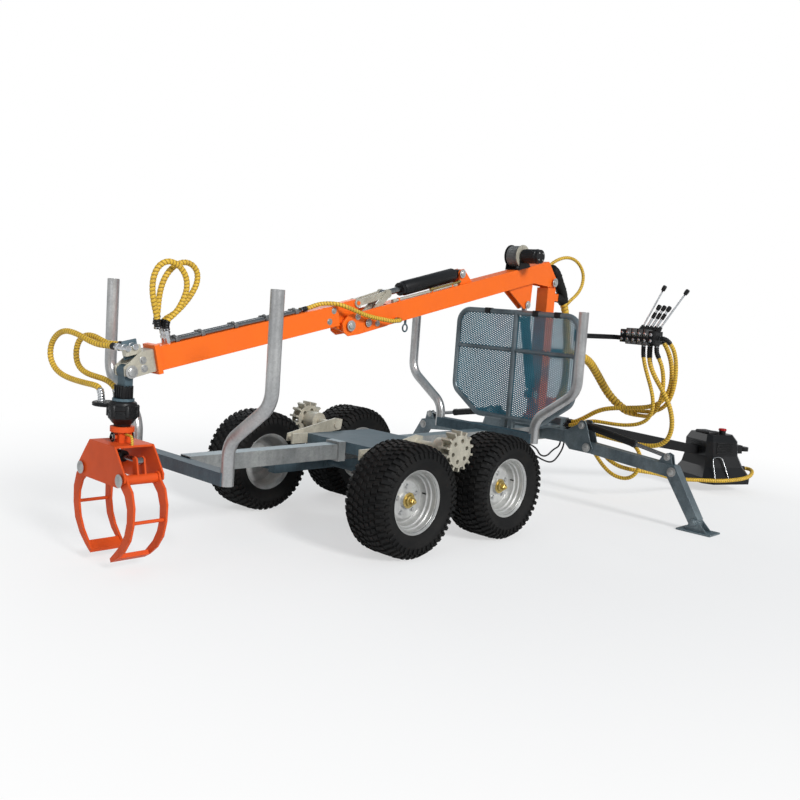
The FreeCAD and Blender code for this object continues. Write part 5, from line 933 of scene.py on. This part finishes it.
def ring_of(place, axis, inner, outer, thick):
    """A flat washer or flange."""
    return lathe([(0.0, inner), (0.0, outer - 0.001), (0.001, outer), (thick - 0.001, outer),
                  (thick, outer - 0.001), (thick, inner)], place, axis, 36, closed=True)


# ---------------------------------------------------------------- pins and bolts

# Pins of the boom and the stick: reach and rise in mm, then the head's size and height in metres.
BOOM_PINS = ((0, 0, 0.034, 0.010), (292, -100, 0.030, 0.008), (932, 212, 0.030, 0.010),
             (1772, 80, 0.026, 0.008), (1905, 91, 0.034, 0.010), (1840, 128, 0.022, 0.007),
             (1700, 62, 0.020, 0.007))
STICK_PINS = ((1304, 41, 0.034, 0.010), (1236, 78, 0.020, 0.008), (1236, 40, 0.020, 0.008),
              (90, 96, 0.020, 0.007), (128, 44, 0.020, 0.007))
# Pins of the legs: distance from the middle and height in mm, then the head's size.
LEG_PINS = ((437, 394, 0.034), (386, 535, 0.028), (1045, 338, 0.034), (1000, 424, 0.026))


def make_fasteners():
    """Heads of the pins, each on the first face under it.

    The jaw pins have none on the side of the rear bunk, which they would touch when the hanger swings.
    """
    spots = []
    for side in (1, -1):
        across = (0, side, 0)
        for reach, rise, size, tall in BOOM_PINS:
            spots.append((on_boom(reach, side * 60, rise), across, size, tall))
        for reach, rise, size, tall in STICK_PINS:
            spots.append((on_stick(reach, side * 55, rise), across, size, tall))
        spots.append((at(1484, side * 50, 700), across, 0.030, 0.008))
        for end in (1, -1):
            for y, z, size in LEG_PINS:
                spots.append((at(1600 + end * 60, side * y, z), (end, 0, 0), size, 0.010))
            spots.append((at(-1585 + end * 60, 0, 585), (end, 0, 0), 0.026, 0.009))
        spots.append((at(-1695, side * 172, 424), (-1, 0, 0), 0.034, 0.004))
    heads = {}
    for place, axis, size, tall in spots:
        face, body = seat(place, axis)
        heads.setdefault(body, []).extend(bolt(face, axis, size, tall))
    for body, parts in heads.items():
        build("pin_heads_" + body, parts, ZINC_BOLT, body)


make_fasteners()


# ---------------------------------------------------------------- stick, tip and rotator

def make_stick_lines():
    """Steel pipes along the stick's top, their clamps, and the elbows the loops screw on."""
    for name, across in (("left", 15), ("right", -15)):
        line = [on_stick(reach, across, 130) for reach in (300, 420, 560, 700, 840, 980, 1082)]
        build("stick_pipe_" + name, [tube(line, 0.0122, 16)], STEEL_PIPE, "stick")
        parts = [tube([on_stick(1082, across, rise) for rise in (121, 134, 146, 160, 171, 181)], 0.0142, 16)]
        for rise in (146, 166):
            parts.append(lathe([(0, 0.014), (0.001, 0.0165), (0.012, 0.0165), (0.013, 0.014)],
                               on_stick(1082, across, rise), STICK_UP, 6))
        build("stick_elbow_" + name, parts, CHROME, "stick")
    clamps = []
    for reach in (330, 520, 710, 900, 1040):
        middle = -reach / 1000
        clamp = slab((middle - 0.011, -0.033, 0.1215), (middle + 0.011, 0.033, 0.146), 0.003)
        clamps.append(placed(clamp, STICK_FRAME))
        clamps += bolt(on_stick(reach, 0, 146), STICK_UP, 0.013, 0.006)
    build("stick_pipe_clamps", clamps, GREY_CAST, "stick")


def make_tip():
    """Bulkhead plate and chrome unions on the extension, ribs on the hanger."""
    plate = placed(slab((-1.300, 0.0, 0.088), (-1.228, 0.010, 0.172), 0.002), STICK_FRAME)
    build("tip_bulkhead", [plate], ZINC_BLUE, "extension")
    profile = [(0, 0.006), (0.001, 0.0142), (0.034, 0.0142), (0.035, 0.0175), (0.050, 0.0175),
               (0.051, 0.0142), (0.078, 0.0142), (0.079, 0.0175), (0.094, 0.0175), (0.095, 0.011)]
    unions = [lathe(profile, on_stick(reach, -36, 142), (0, 1, 0), 24) for reach in (1255, 1292)]
    build("tip_unions", unions, CHROME, "extension")
    x, _, z = at(-1585, 0, 745)
    ribs = [slab((x - 0.026, -0.037, z), (x + 0.026, 0.037, z + 0.064), 0.004)]
    for k in range(4):
        for side in (1, -1):
            for ex, ey, wx, wy in ((side * 0.026, -0.027 + 0.018 * k, 0.004, 0.003),
                                   (-0.022 + 0.0145 * k, side * 0.037, 0.003, 0.004)):
                low = (x + ex - wx, ey - wy, z + 0.002)
                ribs.append(slab(low, (x + ex + wx, ey + wy, z + 0.070), 0.001))
    build("hanger_block", ribs, BLACK, "hanger")


def make_rotator():
    """Lobed cast body with a tapered foot, its fixing screws and the round plate that carries the ports."""
    origin = at(-1585, 0, 632)
    profile = [(0.0, 0.020), (0.0, 0.036), (0.010, 0.038), (0.016, 0.046), (0.030, 0.056), (0.036, 0.0625),
               (0.043, 0.0640), (0.060, 0.0634), (0.062, 0.0610), (0.072, 0.0610), (0.074, 0.0650),
               (0.092, 0.0655), (0.094, 0.0610), (0.104, 0.0600), (0.111, 0.054), (0.1124, 0.050),
               (0.1124, 0.030)]
    parts = [lathe(profile, origin, UP, 48)]
    for spoke in around(6, 0.35, "Z"):
        parts.append(lathe([(0, 0.008), (0.002, 0.012), (0.050, 0.012), (0.056, 0.008)],
                           origin + spoke * 0.060 + Vector((0, 0, 0.043)), UP, 14))
    casting = build("rotator_casting", parts, BLACK, "hanger")
    disc = Vector((origin.x - 0.020, 0.096, origin.z + 0.0795))
    plate = lathe([(0, 0.030), (0.0, 0.066), (0.003, 0.0695), (0.006, 0.0695), (0.008, 0.0675),
                   (0.010, 0.0695), (0.0145, 0.0695), (0.0175, 0.066), (0.0175, 0.030)], disc, UP, 40)
    plate = build("rotator_port_plate", [plate], BLACK, "hanger")
    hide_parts("rotator")
    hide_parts("rotator")
    ports = []
    for route in (LEFT_ONE, LEFT_TWO):
        x, y, _ = route[-1]
        ports.append(lathe([(0, 0.010), (0.001, 0.0165), (0.012, 0.0165), (0.013, 0.011)],
                           (x, y, origin.z + 0.0965), UP, 6))
    build("rotator_ports", ports, CHROME, "hanger")


make_stick_lines()
make_tip()
make_rotator()


# ---------------------------------------------------------------- winch, fold cylinder and boot

def make_winch():
    """Rope on the drum, a bright flange, and a ribbed end cap on the motor."""
    across = Vector((0, 1, 0))
    middle = on_boom(335, 0, 229)
    turns = 10
    steps = 20  # points in a turn
    coil = []
    for k in range(turns * steps + 1):
        turn = 2 * math.pi * k / steps
        coil.append(middle + Vector((math.cos(turn) * 0.0625, -0.042 + 0.084 * k / (turns * steps),
                                     math.sin(turn) * 0.0625)))
    build("winch_rope", [tube(coil, 0.0042, 8)], GREY_CAST, "winch", 60)
    flange = ring_of(middle - across * 0.0502, across, 0.020, 0.0728, 0.0072)
    build("winch_flange", [flange], CREAM, "winch")
    motor = middle - across * 0.0583
    case = [lathe([(0.0, 0.020), (0.0, 0.0455), (0.010, 0.0455), (0.012, 0.0445), (0.096, 0.0445),
                   (0.098, 0.0475), (0.108, 0.0475), (0.110, 0.0445), (0.126, 0.0440), (0.1305, 0.040),
                   (0.1305, 0.010)], motor, -across, 40)]
    for spoke in around(18):
        rib = motor + spoke * 0.0445
        case.append(tube([rib - across * 0.020, rib - across * 0.094], 0.0022, 6))
    heads = []
    for spoke in around(4, math.pi / 4):
        heads += bolt(motor - across * 0.1303 + spoke * 0.030, -across, 0.010, 0.005, False)
    build("winch_motor_case", case, BLACK, "boom")
    build("winch_motor_bolts", heads, ZINC_BOLT, "boom")


def make_fold_lines():
    """Cream feed pipe and yellow line under the stick cylinder, with their unions."""
    for name, start, end, radius, material, slot in (
            ("pipe", (1010, -36, 158), (1540, -36, 157), 0.0075, CREAM, "cream_zinc"),
            ("line", (985, -47, 172), (1230, -47, 170), 0.006, YELLOW_ZINC, "hose")):
        a, b = on_boom(*start), on_boom(*end)
        parts = [tube([a.lerp(b, k / 6) for k in range(7)], radius, 12)]
        for spot in (a, b):
            parts.append(lathe([(-0.012, radius), (-0.012, radius * 1.6), (0.012, radius * 1.6),
                                (0.012, radius)], spot, b - a, 6))
        build("fold_" + name, parts, material, "boom")
    brackets = []
    for reach in (1.04, 1.22, 1.50):
        plate = slab((-reach - 0.006, -0.044, 0.147), (-reach + 0.006, -0.026, 0.168), 0.0015)
        brackets.append(placed(plate, BOOM_FRAME))
    build("fold_line_brackets", brackets, ORANGE, "boom")


def make_fold_jacket():
    """Thick protective sleeve on the barrel of the stick's cylinder."""
    foot = on_boom(932, 0, 212)
    eye = on_boom(1575.3, 0, 204.8)
    jacket = lathe([(0.052, 0.030), (0.052, 0.038), (0.062, 0.0425), (0.486, 0.0425), (0.496, 0.039),
                    (0.496, 0.030)], foot, eye - foot, 36)
    build("fold_jacket", [jacket], BLACK_PLASTIC, "stick_barrel")


def make_boot():
    """Black boot that gathers the hoses behind the boom's rear end into the column's bundle."""
    rear = on_boom(-44, 0, 70)
    line = [tuple(rear), tuple(rear + Vector((0.035, 0, -0.006))), (0.808, -0.001, 1.466),
            (0.846, -0.002, 1.424), (0.872, -0.004, 1.376), (0.884, -0.007, 1.340)]
    even, _ = spaced(spline_points(line, "boot"), 0.006)
    radii = []
    for k in range(len(even)):
        share = k / (len(even) - 1)
        radii.append(0.044 - 0.012 * share + 0.0012 * math.sin(k * 1.7) + (0.0015 if k % 6 == 0 else 0))
    mesh = joined("boot", [tube(even, radii, 28)])
    mesh.materials.append(HOSE_RUBBER)
    mesh.shade_smooth()
    boot = bpy.data.objects.new("bundle_boot", mesh)
    bpy.context.scene.collection.objects.link(boot)
    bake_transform(boot)
    gland, _ = spaced(spline_points(BUNDLE[:5], "gland"), 0.006)
    build("bundle_gland_sleeve", [tube(gland[:18], 0.0312, 24)], HOSE_RUBBER, "column", 60)


make_winch()
make_fold_lines()
make_fold_jacket()
make_boot()


# ---------------------------------------------------------------- valve bank

def make_valve_bank():
    """Grey sections, chrome unions, levers with black knobs and rubber boots at their feet."""
    x, _, z = at(1760, 0, 1150)
    pitch = 0.250 / 6
    sections, ends, nuts = [], [], []
    for i in range(6):
        is_end = i in (0, 5)
        half = 0.0426 if is_end else 0.0526
        low = -0.765 + i * pitch + 0.002
        near = (x - 0.0556, low - 0.0004, z - half)
        far = (x + 0.0556, low + pitch - 0.0036, z + half)
        (ends if is_end else sections).append(slab(near, far, 0.004))
        for face in (-1, 1):
            for rise in (-0.022, 0.018):
                spot = (x + face * 0.0555, low + pitch / 2 - 0.002, z + rise)
                nuts.append(lathe([(0, 0.0095), (0.007, 0.0105), (0.0075, 0.012), (0.014, 0.012),
                                   (0.015, 0.009)], spot, (face, 0, 0), 6))
    build("valve_sections", sections, GREY_CAST, "chassis")
    build("valve_end_sections", ends, BLACK, "chassis")
    build("valve_unions", nuts, CHROME, "chassis")
    rods, knobs = [], []
    for i in range(5):
        tall = i in (0, 4)
        foot = at(1765, -625 - 30 * i, 1180)
        lean = Vector((46, -109 - 12 * i, 278)).normalized()
        length = 0.325 if tall else 0.190
        stem = [foot + lean * (length * share) for share in (0.12, 0.3, 0.4, 0.5, 0.7, 0.9)]
        rods.append(tube(stem, 0.0062 if tall else 0.0088, 14))
        knobs.append(lathe([(0.0, 0.006), (0.002, 0.0125), (0.020, 0.0145), (0.034, 0.0135), (0.039, 0.008)],
                           foot + lean * (length - 0.026), lean, 20))
        knobs.append(lathe([(0.004, 0.013), (0.020, 0.0175), (0.026, 0.0150), (0.032, 0.0158),
                            (0.038, 0.0125), (0.046, 0.0125), (0.050, 0.0095)], foot, lean, 20))
        if not tall:
            knobs.append(lathe([(0.0, 0.0095), (0.002, 0.0125), (0.040, 0.0120), (0.042, 0.0095)],
                               foot + lean * 0.105, lean, 18))
    build("valve_levers", rods, CHROME, "chassis")
    build("valve_knobs", knobs, BLACK_PLASTIC, "chassis", 50)


make_valve_bank()


# ---------------------------------------------------------------- power unit

def make_power_unit_details():
    """Filler cap, handle bar and cooling ribs on the shroud."""
    middle = 1.370  # along the drawbar from its pivot
    foot = 0.065
    top = Vector((middle + 0.055, -0.040, foot + 0.3835))
    cap = [lathe([(0, 0.020), (0.001, 0.0275), (0.012, 0.0285), (0.016, 0.026), (0.0165, 0.010)],
                 top, UP, 24)]
    for spoke in around(10, axis="Z"):
        spot = top + spoke * 0.0275 + Vector((0, 0, 0.0015))
        cap.append(tube([spot, spot + Vector((0, 0, 0.011))], 0.0025, 6))
    shape = ((-0.150, -0.252, 0.030), (-0.146, -0.224, 0.095), (-0.140, -0.192, 0.170),
             (-0.128, -0.182, 0.196), (-0.060, -0.180, 0.200), (-0.046, -0.190, 0.176),
             (-0.030, -0.224, 0.100), (-0.022, -0.252, 0.030))
    bar, _ = spaced(spline_points([(middle + x, y, foot + z) for x, y, z in shape], "bar"), 0.008)
    ribs = []
    for k in range(7):
        z = foot + 0.222 + 0.0125 * k
        y = -0.1615 + 0.0007 * k
        ribs.append(slab((middle - 0.085, y - 0.004, z), (middle + 0.070, y + 0.004, z + 0.006), 0.0015))
        ribs.append(slab((middle + 0.146, -0.075, z - 0.004), (middle + 0.160, 0.075, z + 0.002), 0.0015))
        ribs.append(slab((middle - 0.159, -0.060, z - 0.004), (middle - 0.151, 0.060, z + 0.002), 0.0015))
    ribs.append(slab((middle - 0.105, -0.075, foot + 0.352), (middle - 0.004, 0.085, foot + 0.378), 0.010))
    for name, parts, material, slot in (("filler_cap", cap, RED, "black_plastic"),
                                        ("handle_bar", [tube(bar, 0.0055, 12)], STEEL_PIPE, "piston"),
                                        ("shroud_ribs", ribs, BLACK_PLASTIC, "black_plastic")):
        build("power_" + name, [placed(part, DRAWBAR_FRAME) for part in parts], material, "drawbar")


make_power_unit_details()


# ---------------------------------------------------------------- chassis trim

def make_chassis_trim():
    """Black discs in the stakes' open tops as painted shade, clips on the headboard, leg feet and the ring
    under the boom.
    """
    for node in ("rear_stakes", "front_stakes"):
        low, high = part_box(node)
        mouth_shade_discs = []
        # Painted shade: a thin black disc at each stake top stands for the shade inside the open tube.
        for side in (1, -1):
            middle = Vector(((low.x + high.x) / 2, side * (high.y - 0.030), high.z))
            mouth_shade_discs.append(lathe([(0.0, 0.004), (0.0002, 0.0265), (0.0006, 0.0265), (0.0008, 0.004)],
                                middle, UP, 28))
        build(node + "_mouths", mouth_shade_discs, HOSE_RUBBER, "chassis")
    for name, side in (("left", 1), ("right", -1)):
        x, y, z = at(1600, side * 1222, 60)
        ankle = [lathe([(0, 0.018), (0.001, 0.024), (0.095, 0.024), (0.096, 0.018)],
                       (x - 0.048, y, z), (1, 0, 0), 24),
                 slab((x - 0.034, y - 0.030, 0.008), (x + 0.034, y + 0.034, z + 0.006), 0.004)]
        for end in (-1, 1):
            ankle += bolt((x + end * 0.048, y, z), (end, 0, 0), 0.026, 0.009)
        build("leg_ankle_" + name, ankle, ZINC_GREY, "leg_" + name)
    x, _, z = at(1250, 0, 1249)
    clips = [slab((x - 0.024, y - 0.022, z - 0.016), (x + 0.024, y + 0.022, z + 0.0215), 0.005)
             for y in (0.235, -0.16, -0.33)]
    build("headboard_clips", clips, BLACK, "chassis")
    ring = Vector((-0.705, 0, 1.118))
    loop = [ring + Vector((spoke.x * 0.019, 0, spoke.z * 0.021)) for spoke in around(24)]
    loop.append(loop[0])
    stem = [ring + Vector((0, 0, rise)) for rise in (0.018, 0.075)]
    build("boom_ring", [tube(loop, 0.0048, 10), tube(stem, 0.0075, 12)], ZINC_BLUE, "boom", 50)


def make_brake_loops():
    """Two thin black hoses that hang from the crane's cross beam to the side of the spine."""
    for name, out, low, far, last in (("outer", -0.235, 0.262, 0.665, 0.36),
                                      ("inner", -0.205, 0.300, 0.635, 0.42)):
        start, _ = seat(Vector((0.695, out, 0.40)), (0, 0, -1), 0.08)
        end, _ = seat(Vector((last, -0.10, 0.42)), (0, -1, 0), 0.08)
        route = [tuple(start), tuple(start + Vector((0, 0, -0.035))), (far - 0.020, out, low + 0.045),
                 (far - 0.085, out, low + 0.004), (far - 0.150, out * 0.95, low + 0.012),
                 (end.x + 0.060, out * 0.8, low + 0.060), (end.x + 0.015, out * 0.55, end.z - 0.030),
                 tuple(end - Vector((0, 0.030, 0.004))), tuple(end)]
        even, measured = spaced(spline_points(route, name), 0.006)
        piece = build("brake_hose_" + name, [tube(even, 0.0055, 10)], HOSE_RUBBER, "chassis", 60)


make_chassis_trim()
make_brake_loops()
